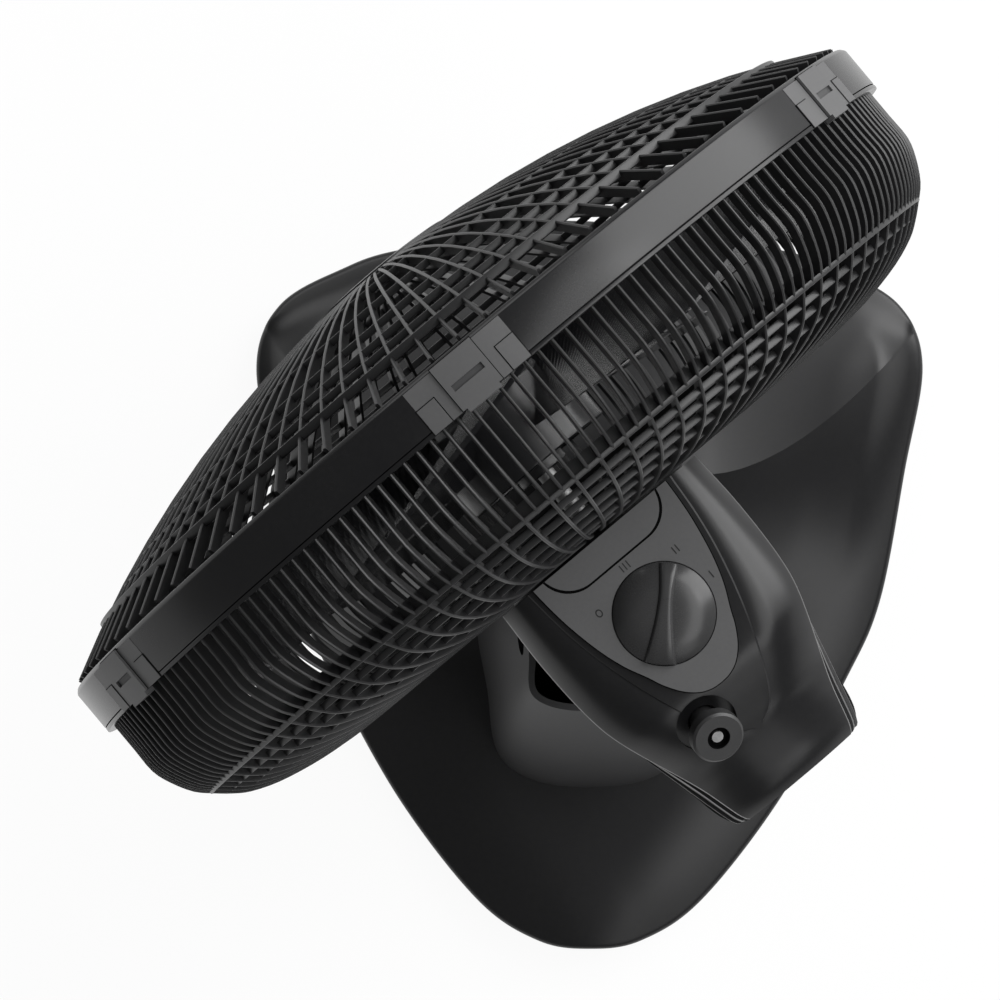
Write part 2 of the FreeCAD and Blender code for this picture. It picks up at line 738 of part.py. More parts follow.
shaft = cylinder("shaft_bar", "dims.shaft_radius", str(shaft_rear - shaft_front), (0, 0, -shaft_rear))
pin_level = -size("hub_rear") + 1.6
pin_hole = cylinder("shaft_pin_hole", "1.5", "40", (-20, 0, pin_level), (1, 0, 0))
keep(cut("rotor_shaft", shaft, [pin_hole]), "rotor_shaft", axle)
drive_pin = cylinder("drive_pin", "1.5", "24", (-12, 0, pin_level), (1, 0, 0))
keep(drive_pin, "drive_pin", axle * drive_pin.Placement)
ring("grille_lock_ring", "20", "33", "-dims.back_flat + 0.5", "-dims.back_flat + 7", axle)
motor_screws = [screw((x, y, -size("bracket_rear")), (0, 0, 1), 3.5) for x, y in motor_screw_places()]
feature("motor_screws", Part.makeCompound(motor_screws), axle)

# Pivot carrier under the motor, with the upright pin that turns in the neck.
carrier_top = -(size("stator_radius") + size("bracket_wall")) - 0.1
carrier_low = carrier_top - 4
plate = block("carrier_plate", ("54", "52", "4"), (-16, 87, carrier_low))
carrier_holes = [cylinder("carrier_hole", "dims.pivot_pin_radius", "20", (*pivot_place, carrier_low - 5))]
for back in CARRIER_SCREWS:
    hole_start = (0, back, carrier_low - 5)
    carrier_holes.append(cylinder("carrier_screw_hole", "dims.screw_radius + 0.2", "20", hole_start))
keep(cut("pivot_carrier", plate, carrier_holes), "pivot_carrier", head)
pin_low = carrier_top - size("pivot_pin_length")
pivot_pin = cylinder("pivot_pin", "dims.pivot_pin_radius", "dims.pivot_pin_length", (*pivot_place, pin_low))
keep(pivot_pin, "pivot_pin", head * pivot_pin.Placement)
carrier_screws = [screw((0, back, carrier_low), (0, 0, 1), 6.2) for back in CARRIER_SCREWS]
feature("carrier_screws", Part.makeCompound(carrier_screws), head)

# Gear housing, worm, worm wheel, crank and link.
gear_back = size("gear_back")
gear_side = size("worm_pitch_radius") + size("wheel_pitch_radius")


def gear_housing():
    case = Part.makeBox(46, 32, 31, V(-15, size("bracket_rear") + 0.2, -15))
    room = Part.makeBox(40, 32, 25, V(-12, size("bracket_rear") - 2.8, -12))
    boss = Part.makeCylinder(6, 16, rod_tip - knob_axis * 6, knob_axis)
    case = case.fuse(boss).cut(room)
    rod_bore = size("rod_radius") + size("running_gap")
    case = case.cut(Part.makeCylinder(rod_bore, 40, rod_tip - knob_axis * 10, knob_axis))
    case = case.cut(Part.makeCylinder(3 + size("running_gap"), 30, V(gear_side, gear_back, -30)))
    return case.cut(Part.makeCylinder(size("shaft_radius") + 0.4, 60, V(0, 150, 0), V(0, 1, 0)))


feature("gear_housing", gear_housing(), head)

MODULE = 2 * size("wheel_pitch_radius") / size("worm_teeth")
LEAD = math.pi * MODULE
TOOTH = 1.0 * MODULE
TOOTH_OUT = 0.8 * MODULE
TOOTH_IN = 1.0 * MODULE


def worm():
    # Single-start right-hand worm; its thread passes the wheel's side at gear_back.
    root = size("worm_pitch_radius") - TOOTH_IN
    tip = size("worm_pitch_radius") + TOOTH_OUT
    turns = 4
    length = turns * LEAD
    low = -gear_back - length / 2
    helix = Part.makeHelix(LEAD, length, root)
    half = TOOTH / 2
    corners = [V(root - 0.4, 0, -half * 1.3), V(tip, 0, -half * 0.7),
               V(tip, 0, half * 0.7), V(root - 0.4, 0, half * 1.3)]
    profile = Part.makePolygon(corners + corners[:1])
    thread = Part.Wire(helix.Edges).makePipeShell([profile], True, True)
    thread.translate(V(0, 0, low))
    core = Part.makeCylinder(root, length + 3, V(0, 0, low - 1.5))
    return core.fuse(thread).cut(Part.makeCylinder(size("shaft_radius"), 60, V(0, 0, low - 20)))


feature("worm", worm(), axle)


def worm_wheel():
    pitch = size("wheel_pitch_radius")
    root = pitch - TOOTH_IN
    tip = pitch + TOOTH_OUT
    thick = 4.0
    wheel = Part.makeCylinder(root, thick, V(0, 0, -thick / 2))
    corners = [V(root - 0.5, -TOOTH * 0.65, -thick / 2), V(tip, -TOOTH * 0.35, -thick / 2),
               V(tip, TOOTH * 0.35, -thick / 2), V(root - 0.5, TOOTH * 0.65, -thick / 2)]
    tooth = Part.Face(Part.makePolygon(corners + corners[:1])).extrude(V(0, 0, thick))
    count = int(size("worm_teeth"))
    teeth = []
    for i in range(count):
        one = tooth.copy()
        one.rotate(V(), UP, (i + 0.5) * 360 / count)
        teeth.append(one)
    hub = Part.makeCylinder(6, 8, V(0, 0, -4))
    wheel = wheel.multiFuse(teeth + [hub])
    return wheel.cut(Part.makeCylinder(3 + size("running_gap"), 40, V(0, 0, -20)))


feature("worm_wheel", worm_wheel(), head * Placement(V(gear_side, gear_back, 0), Rotation()))

CRANK_REST = 100.0
crank_place = (gear_side, gear_back)
crank_pin = (gear_side + size("crank_radius") * math.cos(math.radians(CRANK_REST)),
             gear_back + size("crank_radius") * math.sin(math.radians(CRANK_REST)))


def crank():
    spindle = Part.makeCylinder(3, 56, V(*crank_place, -48))
    disc = Part.makeCylinder(18.5, 3, V(*crank_place, -49.5))
    pin = Part.makeCylinder(2.5, 5, V(*crank_pin, -54))
    return spindle.fuse(disc).fuse(pin).removeSplitter()


feature("crank", crank(), head)


def crank_link():
    link = strap(crank_pin, arm_pin, 5.0, LINK_LOW, LINK_THICK)
    for place, radius in ((crank_pin, 2.5 + size("running_gap")), (arm_pin, 3.2)):
        link = link.cut(Part.makeCylinder(radius, 20, V(*place, LINK_LOW - 8)))
    return link


feature("crank_link", crank_link(), head)

# Fan blade with its hub and nut.
turned("blade_nut", [
    ("dims.shaft_radius", "-dims.hub_front"),
    ("15", "-dims.hub_front"),
    ("15", "-dims.hub_front + 9"),
    ("11", "-dims.hub_front + 15"),
    ("0", "-dims.hub_front + 17"),
    ("0", "-dims.hub_front + 11.1"),
    ("dims.shaft_radius", "-dims.hub_front + 11.1"),
], axle)


def blade_point(span, chord, lift_off):
    # span 0 at the hub to 1 at the tip, chord 0 at the rear edge to 1 at the front edge.
    root = size("hub_radius") - 6
    radius = root + span * (size("blade_tip") - root)
    width = 44 + 22 * span - 26 * max(0.0, span - 0.75) ** 2 * 16 * abs(chord - 0.5)
    sweep = 16 * span * span
    angle = math.radians(width * (chord - 0.5) + sweep)
    rise = 26 + 16 * span
    camber = 5.0 * (1 - (2 * chord - 1) ** 2)
    height = -15 + rise * (chord - 0.5) - camber * span + lift_off
    return V(radius * math.cos(angle), radius * math.sin(angle), height)


def one_blade():
    steps = [i / 6 for i in range(7)]
    half = size("blade_thick") / 2
    skins = []
    for side in (half, -half):
        surface = Part.BSplineSurface()
        surface.interpolate([[blade_point(s, c, side) for c in steps] for s in steps])
        skins.append(surface)
    faces = [s.toShape() for s in skins]
    for pick in ("u0", "u1", "v0", "v1"):
        rails = []
        for surface in skins:
            bounds = surface.bounds()
            at = {"u0": bounds[0], "u1": bounds[1], "v0": bounds[2], "v1": bounds[3]}[pick]
            rails.append((surface.uIso(at) if pick[0] == "u" else surface.vIso(at)).toShape())
        faces.append(Part.makeRuledSurface(rails[0], rails[1]))
    shell = Part.makeCompound(faces)
    shell.sewShape(0.001)
    solid = Part.Solid(shell.Shells[0] if shell.Shells else shell)
    if solid.Volume < 0:
        solid.reverse()
    return solid


def fan_blade():
    radius = size("hub_radius")
    front = -size("hub_front")
    rear = -size("hub_rear")
    profile = [V(4.05, 0, rear), V(12, 0, rear), V(12, 0, front - 6), V(radius - 3, 0, front - 6),
               V(radius - 3, 0, rear + 4), V(radius, 0, rear + 4), V(radius, 0, front - 5), V(radius - 6, 0, front),
               V(4.05, 0, front)]
    hub = Part.Face(Part.makePolygon(profile + profile[:1])).revolve(V(), UP, 360)
    blades = []
    count = int(size("blade_count"))
    bore = Part.makeCylinder(radius - 2, 80, V(0, 0, -80))
    blade = one_blade().cut(bore)
    for i in range(count):
        one = blade.copy()
        one.rotate(V(), UP, i * 360 / count + 8)
        blades.append(one)
    pin_slot = Part.makeBox(26, 3.4, 3.4, V(-13, -1.7, rear - 0.1))
    return hub.multiFuse(blades).cut(pin_slot)


feature("fan_blade", fan_blade(), axle)

# Guard: one sector between two rib middles, repeated round the axis and sewn to one skin.
rib_wide = size("rib_wide")
rib_deep = size("rib_deep")
sector = 360.0 / size("rib_count")
band = size("band_radius")
band_inner = band - size("band_wall")
side = size("side_radius")
flat = size("back_flat")
dome_centre = size("dome_top") - size("dome_radius")


def section_turn(corners):
    wire = Part.makePolygon([V(r, 0, a) for r, a in corners + corners[:1]])
    return Part.Face(wire).revolve(V(), UP, sector)


def hoop(radius, front, deep):
    wall = size("hoop_wall") / 2
    return section_turn([(radius - wall, front - deep), (radius + wall, front - deep), (radius + wall, front),
                         (radius - wall, front)])


def rib(face, place):
    # Half a rib at either end of the sector, or a whole one within it.
    start, end = {"first": (0, 0.5), "last": (-0.5, 0), "middle": (-0.5, 0.5)}[place]
    plate_shape = face.copy()
    plate_shape.translate(V(0, start * rib_wide, 0))
    plate_shape = plate_shape.extrude(V(0, (end - start) * rib_wide, 0))
    plate_shape.rotate(V(), UP, {"first": 0, "last": sector, "middle": sector / 2}[place])
    return plate_shape


def repeat_sector(pieces):
    whole = pieces[0].multiFuse(pieces[1:])
    skins = []
    for face in whole.Faces:
        middle = face.CenterOfMass
        angle = math.degrees(math.atan2(middle.y, middle.x))
        at_end = abs(angle) < 1e-4 or abs(angle - sector) < 1e-4
        if not at_end:
            skins.append(face)
    count = int(size("rib_count"))
    everything = []
    for i in range(count):
        for face in skins:
            one = face.copy()
            one.rotate(V(), UP, (i + 0.5) * sector)
            everything.append(one)
    skin = Part.makeCompound(everything)
    skin.sewShape(0.0005)
    solid = Part.Solid(skin if skin.ShapeType == "Shell" else skin.Shells[0])
    if solid.Volume < 0:
        solid.reverse()
    return solid


# The rear rib's outer line past the band: straight side, rounded shoulder in two arcs, flat back.
SHOULDER = [(side, -36.0), (206.4, -50.0), (192.0, -65.0), (165.0, -76.4), (120.0, -flat)]


def shoulder_line(inset):
    # The shoulder's line moved inwards by the given depth.
    normals = [(-1.0, 0.0), (-0.86, 0.51), (-0.6, 0.8), (-0.24, 0.97), (0.0, 1.0)]
    return [V(r + n[0] * inset, 0, a + n[1] * inset) for (r, a), n in zip(SHOULDER, normals)]


def back_surface(radius):
    # Axial place of the rear ribs' outer line at a radius.
    for (r0, a0), (r1, a1) in zip(SHOULDER, SHOULDER[1:]):
        if r1 <= radius <= r0:
            return a0 + (a1 - a0) * (r0 - radius) / (r0 - r1)
    return -flat


MOUNT_RADIUS = 47.0


def rear_rib_face(full):
    outer = shoulder_line(0)
    inner = shoulder_line(rib_deep)
    start_out = V(side, 0, -9.6)
    start_in = V(side - rib_deep, 0, -9.6)
    edges = [Part.makeLine(start_out, outer[0]), Part.Arc(*outer[0:3]).toShape()]
    if full:
        end_out = V(MOUNT_RADIUS - 2, 0, -flat)
        end_in = V(MOUNT_RADIUS - 2, 0, -flat + rib_deep)
        edges.append(Part.Arc(*outer[2:5]).toShape())
        edges.append(Part.makeLine(outer[4], end_out))
        edges.append(Part.makeLine(end_out, end_in))
        edges.append(Part.makeLine(end_in, inner[4]))
        edges.append(Part.Arc(inner[4], inner[3], inner[2]).toShape())
    else:
        edges.append(Part.makeLine(outer[2], inner[2]))
    edges.append(Part.Arc(inner[2], inner[1], inner[0]).toShape())
    edges.append(Part.makeLine(inner[0], start_in))
    edges.append(Part.makeLine(start_in, start_out))
    return Part.Face(Part.Wire(edges))


REAR_HOOPS = (190.0, 183.5, 174.0, 161.0, 143.0, 120.0, 96.0, 72.0)
FRONT_HOOPS = (173.6, 161.5, 145.0, 117.0, 80.0, 58.0)


def rear_grille():
    low = size("band_rear")
    rim = [(band_inner, -0.15), (band_inner, -low + 2.3), (side - rib_deep - 0.6, -low + 2.3),
           (side - rib_deep - 0.6, -low), (band, -low), (band, -0.15)]
    shoulder = [(194.4, -52.0), (196.4, -52.0), (196.4, -57.6), (199.2, -57.6), (198.4, -59.8), (194.4, -59.8)]
    mount = [(20.2, -flat - 2.3), (MOUNT_RADIUS, -flat - 2.3), (MOUNT_RADIUS, -flat + 3), (MOUNT_RADIUS - 3, -flat + 3),
             (MOUNT_RADIUS - 3, -flat + 0.3), (20.2, -flat + 0.3)]
    pieces = [section_turn(rim), section_turn(shoulder), section_turn(mount)]
    for radius in REAR_HOOPS:
        pieces.append(hoop(radius, back_surface(radius) + 0.9 + size("hoop_deep"), size("hoop_deep")))
    long_face = rear_rib_face(True)
    pieces += [rib(long_face, "first"), rib(long_face, "last"), rib(rear_rib_face(False), "middle")]
    return repeat_sector(pieces)


def dome_surface(radius):
    return dome_centre + math.sqrt(size("dome_radius") ** 2 - radius ** 2)


def front_rib_face():
    outer = size("dome_radius")
    inner = outer - rib_deep
    ends = (size("cap_radius") + 0.5, (size("cap_radius") + band) / 2, band_inner - 1.4)

    def point(reach, radius):
        return V(reach, 0, dome_centre + math.sqrt(radius ** 2 - reach ** 2))

    top = [point(r, outer) for r in ends]
    under = [point(r, inner) for r in ends]
    edges = [Part.Arc(*top).toShape(), Part.makeLine(top[2], under[2]), Part.Arc(*reversed(under)).toShape(),
             Part.makeLine(under[0], top[0])]
    return Part.Face(Part.Wire(edges))


def front_grille():
    high = size("band_front")
    rim = [(band_inner, 0.15), (band, 0.15), (band, high - 2), (band - 1.5, high),
           (band - 7, high), (band - 7, high - 2.6), (band_inner, high - 2.6)]
    ring_front = dome_surface(186.5) + 0.6
    flat_ring = [(184.5, ring_front - 4), (188.5, ring_front - 4), (188.5, ring_front), (184.5, ring_front)]
    cap_low = dome_surface(size("cap_radius"))
    seat = [(8.0, cap_low - 4.4), (40.0, cap_low - 4.4), (40.0, cap_low - 0.4), (36.4, cap_low - 0.4),
            (36.4, cap_low - 2.4), (8.0, cap_low - 2.4)]
    pieces = [section_turn(rim), section_turn(flat_ring), section_turn(seat)]
    for radius in FRONT_HOOPS:
        pieces.append(hoop(radius, dome_surface(radius) - 0.6, 3.2))
    face = front_rib_face()
    pieces += [rib(face, "first"), rib(face, "last")]
    return repeat_sector(pieces)


feature("rear_grille", rear_grille(), axle)
feature("front_grille", front_grille(), axle)


cap_edge = dome_surface(size("cap_radius"))
cap_rise = size("dome_top") + 0.8 - cap_edge
turned("centre_cap", [
    ("0", str(cap_edge - 2.3)),
    ("dims.cap_radius", str(cap_edge - 2.3)),
    ("dims.cap_radius", str(cap_edge + 0.6)),
    ("dims.cap_radius * 0.8", str(cap_edge + 0.6 * cap_rise)),
    ("dims.cap_radius * 0.5", str(cap_edge + 0.88 * cap_rise)),
    ("0", str(cap_edge + cap_rise)),
], axle)


def rim_clip():
    # Flap over both rims with a window slot; its rear edge hooks behind the rear rim.
    wide = size("clip_wide")
    thick = size("clip_thick")
    low = -size("band_rear") - 1.6
    flap = Part.makeBox(thick, wide, size("band_front") - low - 1.2, V(band + 0.1, -wide / 2, low))
    corners = [e for e in flap.Edges if abs(e.Vertexes[0].Z - low) < 0.01 and abs(e.Vertexes[1].Z - low) < 0.01
               and abs(e.Vertexes[0].Y - e.Vertexes[1].Y) < 0.01]
    flap = flap.makeFillet(3.0, corners)
    hook = Part.makeBox(3.5, wide - 6, 1.4, V(band - 3.3, -wide / 2 + 3, low + 0.1))
    window = Part.makeBox(20, 14.5, 2.5, V(band - 5, -7.25, 2.2))
    return flap.fuse(hook).cut(window)


clips = []
for i in range(int(size("clip_count"))):
    one_clip = rim_clip()
    one_clip.rotate(V(), UP, 90 + i * 360 / size("clip_count"))
    clips.append(one_clip)
feature("rim_clips", Part.makeCompound(clips), axle)

# Check every object, then write each sub-part.
doc.recompute()
failed = [o.Name for o in doc.Objects if "Invalid" in o.State or "Error" in o.State]
if failed:
    raise RuntimeError("failed objects: " + ", ".join(failed))
failed = [n.Label for n in nodes if n.Shape.isNull() or not n.Shape.isValid()]
if failed:
    raise RuntimeError("bad shapes: " + ", ".join(failed))

os.makedirs("parts", exist_ok=True)
for node in nodes:
    node.Shape.exportStep("parts/%s.step" % node.Label)
print(len(nodes), "sub-parts written")
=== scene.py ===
import math

import bmesh
import bpy
import numpy as np
from mathutils import Matrix, Vector


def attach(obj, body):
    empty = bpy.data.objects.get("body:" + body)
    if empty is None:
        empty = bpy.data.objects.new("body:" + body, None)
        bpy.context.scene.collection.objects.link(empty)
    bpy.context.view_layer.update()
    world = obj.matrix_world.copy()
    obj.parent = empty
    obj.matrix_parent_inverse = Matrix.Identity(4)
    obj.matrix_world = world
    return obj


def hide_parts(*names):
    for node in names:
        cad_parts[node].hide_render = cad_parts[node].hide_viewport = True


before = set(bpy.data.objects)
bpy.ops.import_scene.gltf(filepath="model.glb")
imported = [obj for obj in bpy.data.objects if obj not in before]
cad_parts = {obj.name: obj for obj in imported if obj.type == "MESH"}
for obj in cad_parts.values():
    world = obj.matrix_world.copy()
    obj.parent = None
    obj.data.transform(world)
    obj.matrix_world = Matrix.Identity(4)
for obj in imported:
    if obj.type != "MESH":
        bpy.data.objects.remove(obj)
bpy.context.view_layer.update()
scene = bpy.context.scene
print("frame loaded:", len(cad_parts), "nodes")

# where the head and its shaft stand, in metres; the pieces are built in millimetres
stand = {"pivot": (0.0, 0.0104, 0.312), "yaw": 40.0, "side": 0.0243, "back": 0.105, "foot": 0.16}
mm = 0.001
fromMm = Matrix.Scale(mm, 4)
toMm = Matrix.Scale(1 / mm, 4)
groundMatrix = Matrix.Translation((0, stand["foot"], 0))
headMatrix = (groundMatrix @ Matrix.Translation(stand["pivot"])
              @ Matrix.Rotation(math.radians(stand["yaw"]), 4, "Z")
              @ Matrix.Translation((-stand["side"], -stand["back"], 0)))
axleMatrix = headMatrix @ Matrix.Rotation(math.radians(90), 4, "X")

# numbers of the node outputs in use
outputs = {"object": 3, "waveHeight": 1, "cameraRay": 0, "glossyRay": 3, "transmissionRay": 6}


class Wire:
    # one node socket; sums and products of wires add Math nodes
    def __init__(self, tree, socket=None):
        self.tree = tree
        self.socket = socket

    def make(self, kind, settings=None, inputs=None, out=0):
        node = self.tree.nodes.new(kind)
        for key, value in (settings or {}).items():
            if key == "stops":
                ramp = node.color_ramp.elements
                while len(ramp) < len(value):
                    ramp.new(1.0)
                for element, (place, colour) in zip(ramp, value):
                    element.position = place
                    element.color = (*colour, 1)
            else:
                setattr(node, key, value)
        for key, value in (inputs or {}).items():
            if isinstance(value, Wire):
                self.tree.links.new(value.socket, node.inputs[key])
            else:
                node.inputs[key].default_value = value
        return Wire(self.tree, node.outputs[out] if len(node.outputs) else None)

    def maths(self, operation, first, second):
        return self.make("ShaderNodeMath", {"operation": operation}, {0: first, 1: second})

    def noise(self, place, scale, detail):
        return self.make("ShaderNodeTexNoise", None, {"Vector": place, "Scale": scale, "Detail": detail})

    def tones(self, stops, share):
        return self.make("ShaderNodeValToRGB", {"stops": stops}, {0: share})

    def __add__(self, other):
        return self.maths("ADD", self, other)

    __radd__ = __add__

    def __sub__(self, other):
        return self.maths("SUBTRACT", self, other)

    def __rsub__(self, other):
        return self.maths("SUBTRACT", other, self)

    def __mul__(self, other):
        return self.maths("MULTIPLY", self, other)

    __rmul__ = __mul__


def newMaterial(name):
    material = bpy.data.materials.new(name)
    material.use_nodes = True
    material.node_tree.nodes.clear()
    return material, Wire(material.node_tree)


# moulded plastics: dark and pale colour, size of clouds and grain, roughness and its spread, bump, specular
mould = {"cloudDetail": 3.0, "grainDetail": 2.0, "dustDetail": 4.0, "dustScale": 0.31, "cloudShare": 0.6,
         "dustShare": 0.4, "darkAt": 0.35, "paleAt": 0.75, "grainShare": 0.5, "depth": 0.0002}
mouldKeys = ("colour", "pale", "cloud", "grain", "rough", "spread", "bump", "specular")
moulded = {
    "shell": ("blackShell", (0.005, 0.005, 0.0055), (0.009, 0.009, 0.0095), 14.0, 1400.0, 0.3, 0.06, 0.05, 0.28),
    "base": ("blackBase", (0.005, 0.005, 0.0055), (0.009, 0.009, 0.0095), 10.0, 1300.0, 0.33, 0.05, 0.04, 0.28),
    # painted light: the same black plastic as the base, made lighter to stand for the light the column catches;
    # the clip slots' lining takes it too
    "column": ("columnBlack", (0.034, 0.034, 0.035), (0.042, 0.042, 0.043), 14.0, 1500.0, 0.55, 0.06, 0.08, 0.3),
    "panel": ("panelGrey", (0.06, 0.06, 0.061), (0.072, 0.072, 0.073), 20.0, 2200.0, 0.5, 0.06, 0.1, 0.4),
    "guard": ("guardBlack", (0.006, 0.006, 0.0065), (0.012, 0.012, 0.0125), 18.0, 1600.0, 0.4, 0.08, 0.06, 0.4),
    "band": ("bandBlack", (0.005, 0.005, 0.0055), (0.009, 0.009, 0.0095), 18.0, 1600.0, 0.26, 0.06, 0.04, 0.28),
    "clip": ("clipBlack", (0.06, 0.06, 0.061), (0.07, 0.07, 0.071), 24.0, 1800.0, 0.5, 0.06, 0.06, 0.4),
    "gloss": ("dialGloss", (0.026, 0.026, 0.0265), (0.032, 0.032, 0.0325), 40.0, 2600.0, 0.27, 0.05, 0.02, 0.3),
    "knob": ("knobBlack", (0.017, 0.017, 0.0175), (0.022, 0.022, 0.0225), 40.0, 2400.0, 0.42, 0.06, 0.05, 0.36),
    "mark": ("markInk", (0.006, 0.006, 0.006), (0.01, 0.01, 0.01), 40.0, 2600.0, 0.5, 0.05, 0.05, 0.3),
    # painted shade: near-black, dull sheets laid in gaps and recesses where only shadow falls
    "shadeSheet": ("seamDark", (0.001, 0.001, 0.001), (0.002, 0.002, 0.002), 40.0, 2600.0, 0.8, 0.05, 0.05, 0.05),
    "rubber": ("footRubber", (0.012, 0.012, 0.012), (0.03, 0.03, 0.03), 60.0, 1800.0, 0.8, 0.1, 0.4, 0.3),
    "white": ("gearNylon", (0.55, 0.54, 0.5), (0.68, 0.67, 0.63), 40.0, 1800.0, 0.5, 0.1, 0.15, 0.4),
}

# metals: dark and light colour, roughness, stretch and size of the streaks, metallic share
metal = {"detail": 4.0, "darkAt": 0.3, "lightAt": 0.75, "spread": 0.25, "bump": 0.15, "depth": 0.0001}
metalKeys = ("dark", "light", "rough", "stretch", "scale", "share")
metals = {
    "steel": ("brushedSteel", (0.42, 0.42, 0.42), (0.62, 0.62, 0.61), 0.32, (1.0, 1.0, 12.0), 300.0, 1.0),
    "blackSteel": ("blackenedSteel", (0.02, 0.02, 0.02), (0.05, 0.05, 0.05), 0.42, (1.0, 1.0, 1.0), 300.0, 0.6),
    "cast": ("castAlloy", (0.4, 0.4, 0.39), (0.56, 0.56, 0.55), 0.5, (1.0, 1.0, 1.0), 500.0, 1.0),
    "core": ("coreLaminations", (0.2, 0.2, 0.2), (0.34, 0.34, 0.34), 0.5, (1.0, 1.0, 1.0), 240.0, 0.9),
    "copper": ("windingCopper", (0.35, 0.13, 0.05), (0.6, 0.28, 0.13), 0.35, (6.0, 6.0, 6.0), 260.0, 0.95),
    "brass": ("bearingBrass", (0.42, 0.3, 0.12), (0.6, 0.45, 0.2), 0.35, (1.0, 1.0, 1.0), 300.0, 1.0),
}

polish = {"colour": (0.006, 0.006, 0.007), "pale": (0.012, 0.012, 0.013), "darkAt": 0.3, "paleAt": 0.8,
          "grooves": 16.0, "cloud": 30.0, "detail": 3.0, "share": 0.5, "rough": 0.22, "spread": 0.12, "bump": 0.1,
          "depth": 0.0006, "specular": 0.5}


def surfaced(w, tone, rough, height, bump, depth, more):
    # bumped surface and the material's output
    normal = w.make("ShaderNodeBump", None, {"Strength": bump, "Distance": depth, "Height": height})
    shader = w.make("ShaderNodeBsdfPrincipled", None,
                    {"Base Color": tone, "Roughness": rough, "Normal": normal, **more})
    w.make("ShaderNodeOutputMaterial", None, {"Surface": shader})


def mouldedFinish(name, look):
    # moulded plastic: fine spark texture, slow cloudiness in the gloss, dust in the colour
    material, w = newMaterial(name)
    place = w.make("ShaderNodeTexCoord", out=outputs["object"])
    cloud = w.noise(place, look["cloud"], mould["cloudDetail"])
    grain = w.noise(place, look["grain"], mould["grainDetail"])
    dust = w.noise(place, look["grain"] * mould["dustScale"], mould["dustDetail"])
    tone = w.tones([(mould["darkAt"], look["colour"]), (mould["paleAt"], look["pale"])],
                   cloud * mould["cloudShare"] + dust * mould["dustShare"])
    fine = (grain - 0.5) * look["spread"] * mould["grainShare"]
    rough = look["rough"] + (cloud - 0.5) * look["spread"] + fine
    surfaced(w, tone, rough, grain, look["bump"], mould["depth"], {"Specular IOR Level": look["specular"]})
    return material


def metalFinish(name, look):
    # brushed or cast metal: stretched noise in the gloss and colour
    material, w = newMaterial(name)
    place = w.make("ShaderNodeTexCoord", out=outputs["object"])
    stretched = w.make("ShaderNodeMapping", None, {"Vector": place, "Scale": look["stretch"]})
    streak = w.noise(stretched, look["scale"], metal["detail"])
    tone = w.tones([(metal["darkAt"], look["dark"]), (metal["lightAt"], look["light"])], streak)
    rough = look["rough"] + (streak - 0.5) * metal["spread"]
    surfaced(w, tone, rough, streak, metal["bump"], metal["depth"], {"Metallic": look["share"]})
    return material


def bladeFinish(name):
    # polished blade: fine grooves that run along the blade's own UV map
    material, w = newMaterial(name)
    uv = w.make("ShaderNodeUVMap", {"uv_map": "along"})
    grooves = w.make("ShaderNodeTexWave", {"bands_direction": "Y"},
                     {"Vector": uv, "Scale": polish["grooves"], "Distortion": 0.0}, outputs["waveHeight"])
    place = w.make("ShaderNodeTexCoord", out=outputs["object"])
    cloud = w.noise(place, polish["cloud"], polish["detail"])
    tone = w.tones([(polish["darkAt"], polish["colour"]), (polish["paleAt"], polish["pale"])],
                   cloud * polish["share"] + grooves * (1 - polish["share"]))
    rough = polish["rough"] + (cloud - 0.5) * polish["spread"]
    surfaced(w, tone, rough, grooves, polish["bump"], polish["depth"], {"Specular IOR Level": polish["specular"]})
    return material


finishes = {}
for key, (name, *values) in moulded.items():
    finishes[key] = mouldedFinish(name, dict(zip(mouldKeys, values)))
for key, (name, *values) in metals.items():
    finishes[key] = metalFinish(name, dict(zip(metalKeys, values)))
finishes["blade"] = bladeFinish("bladeBlack")
print("finishes made:", len(finishes))


# meshes: merging distance in metres, angle of open edges in radians; a bar's thin middle is merged away
# edges that bend more than angle, in degrees, stay sharp
meshing = {"merge": 2e-6, "openAngle": 3.2, "angle": 32, "copyAngle": 28, "needle": 0.01, "needleMerge": 0.05,
           "cornerShare": 0.45, "cornerSteps": 3}


def finishMesh(mesh, angle):
    cleaned(mesh, meshing["merge"])
    work = bmesh.new()
    work.from_mesh(mesh)
    for face in work.faces:
        face.smooth = True
    for edge in work.edges:
        bent = edge.calc_face_angle(meshing["openAngle"])
        edge.smooth = len(edge.link_faces) == 2 and bent < math.radians(angle)
    work.to_mesh(mesh)
    work.free()


def placed(name, data):
    one = bpy.data.objects.new(name, data)
    scene.collection.objects.link(one)
    return one


def rawMesh(name, points, faces):
    mesh = bpy.data.meshes.new(name)
    mesh.from_pydata([Vector(p) for p in points], [], faces)
    return mesh


def cleaned(mesh, distance):
    # merges points closer than the distance and turns the faces outward
    work = bmesh.new()
    work.from_mesh(mesh)
    bmesh.ops.remove_doubles(work, verts=work.verts, dist=distance)
    bmesh.ops.recalc_face_normals(work, faces=work.faces)
    work.to_mesh(mesh)
    work.free()
    return mesh


def joined(name, meshes):
    work = bmesh.new()
    for mesh in meshes:
        work.from_mesh(mesh)
    mesh = bpy.data.meshes.new(name)
    work.to_mesh(mesh)
    work.free()
    return mesh


def addPiece(name, mesh, matrix, finish, body, nodes=(), angle=meshing["angle"]):
    # places a mesh given in millimetres in one of the part's frames
    mesh.transform(matrix @ fromMm)
    finishMesh(mesh, angle)
    mesh.materials.clear()
    mesh.materials.append(finishes[finish])
    piece = placed(name, mesh)
    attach(piece, body)
    if nodes:
        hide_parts(*nodes)
    return piece


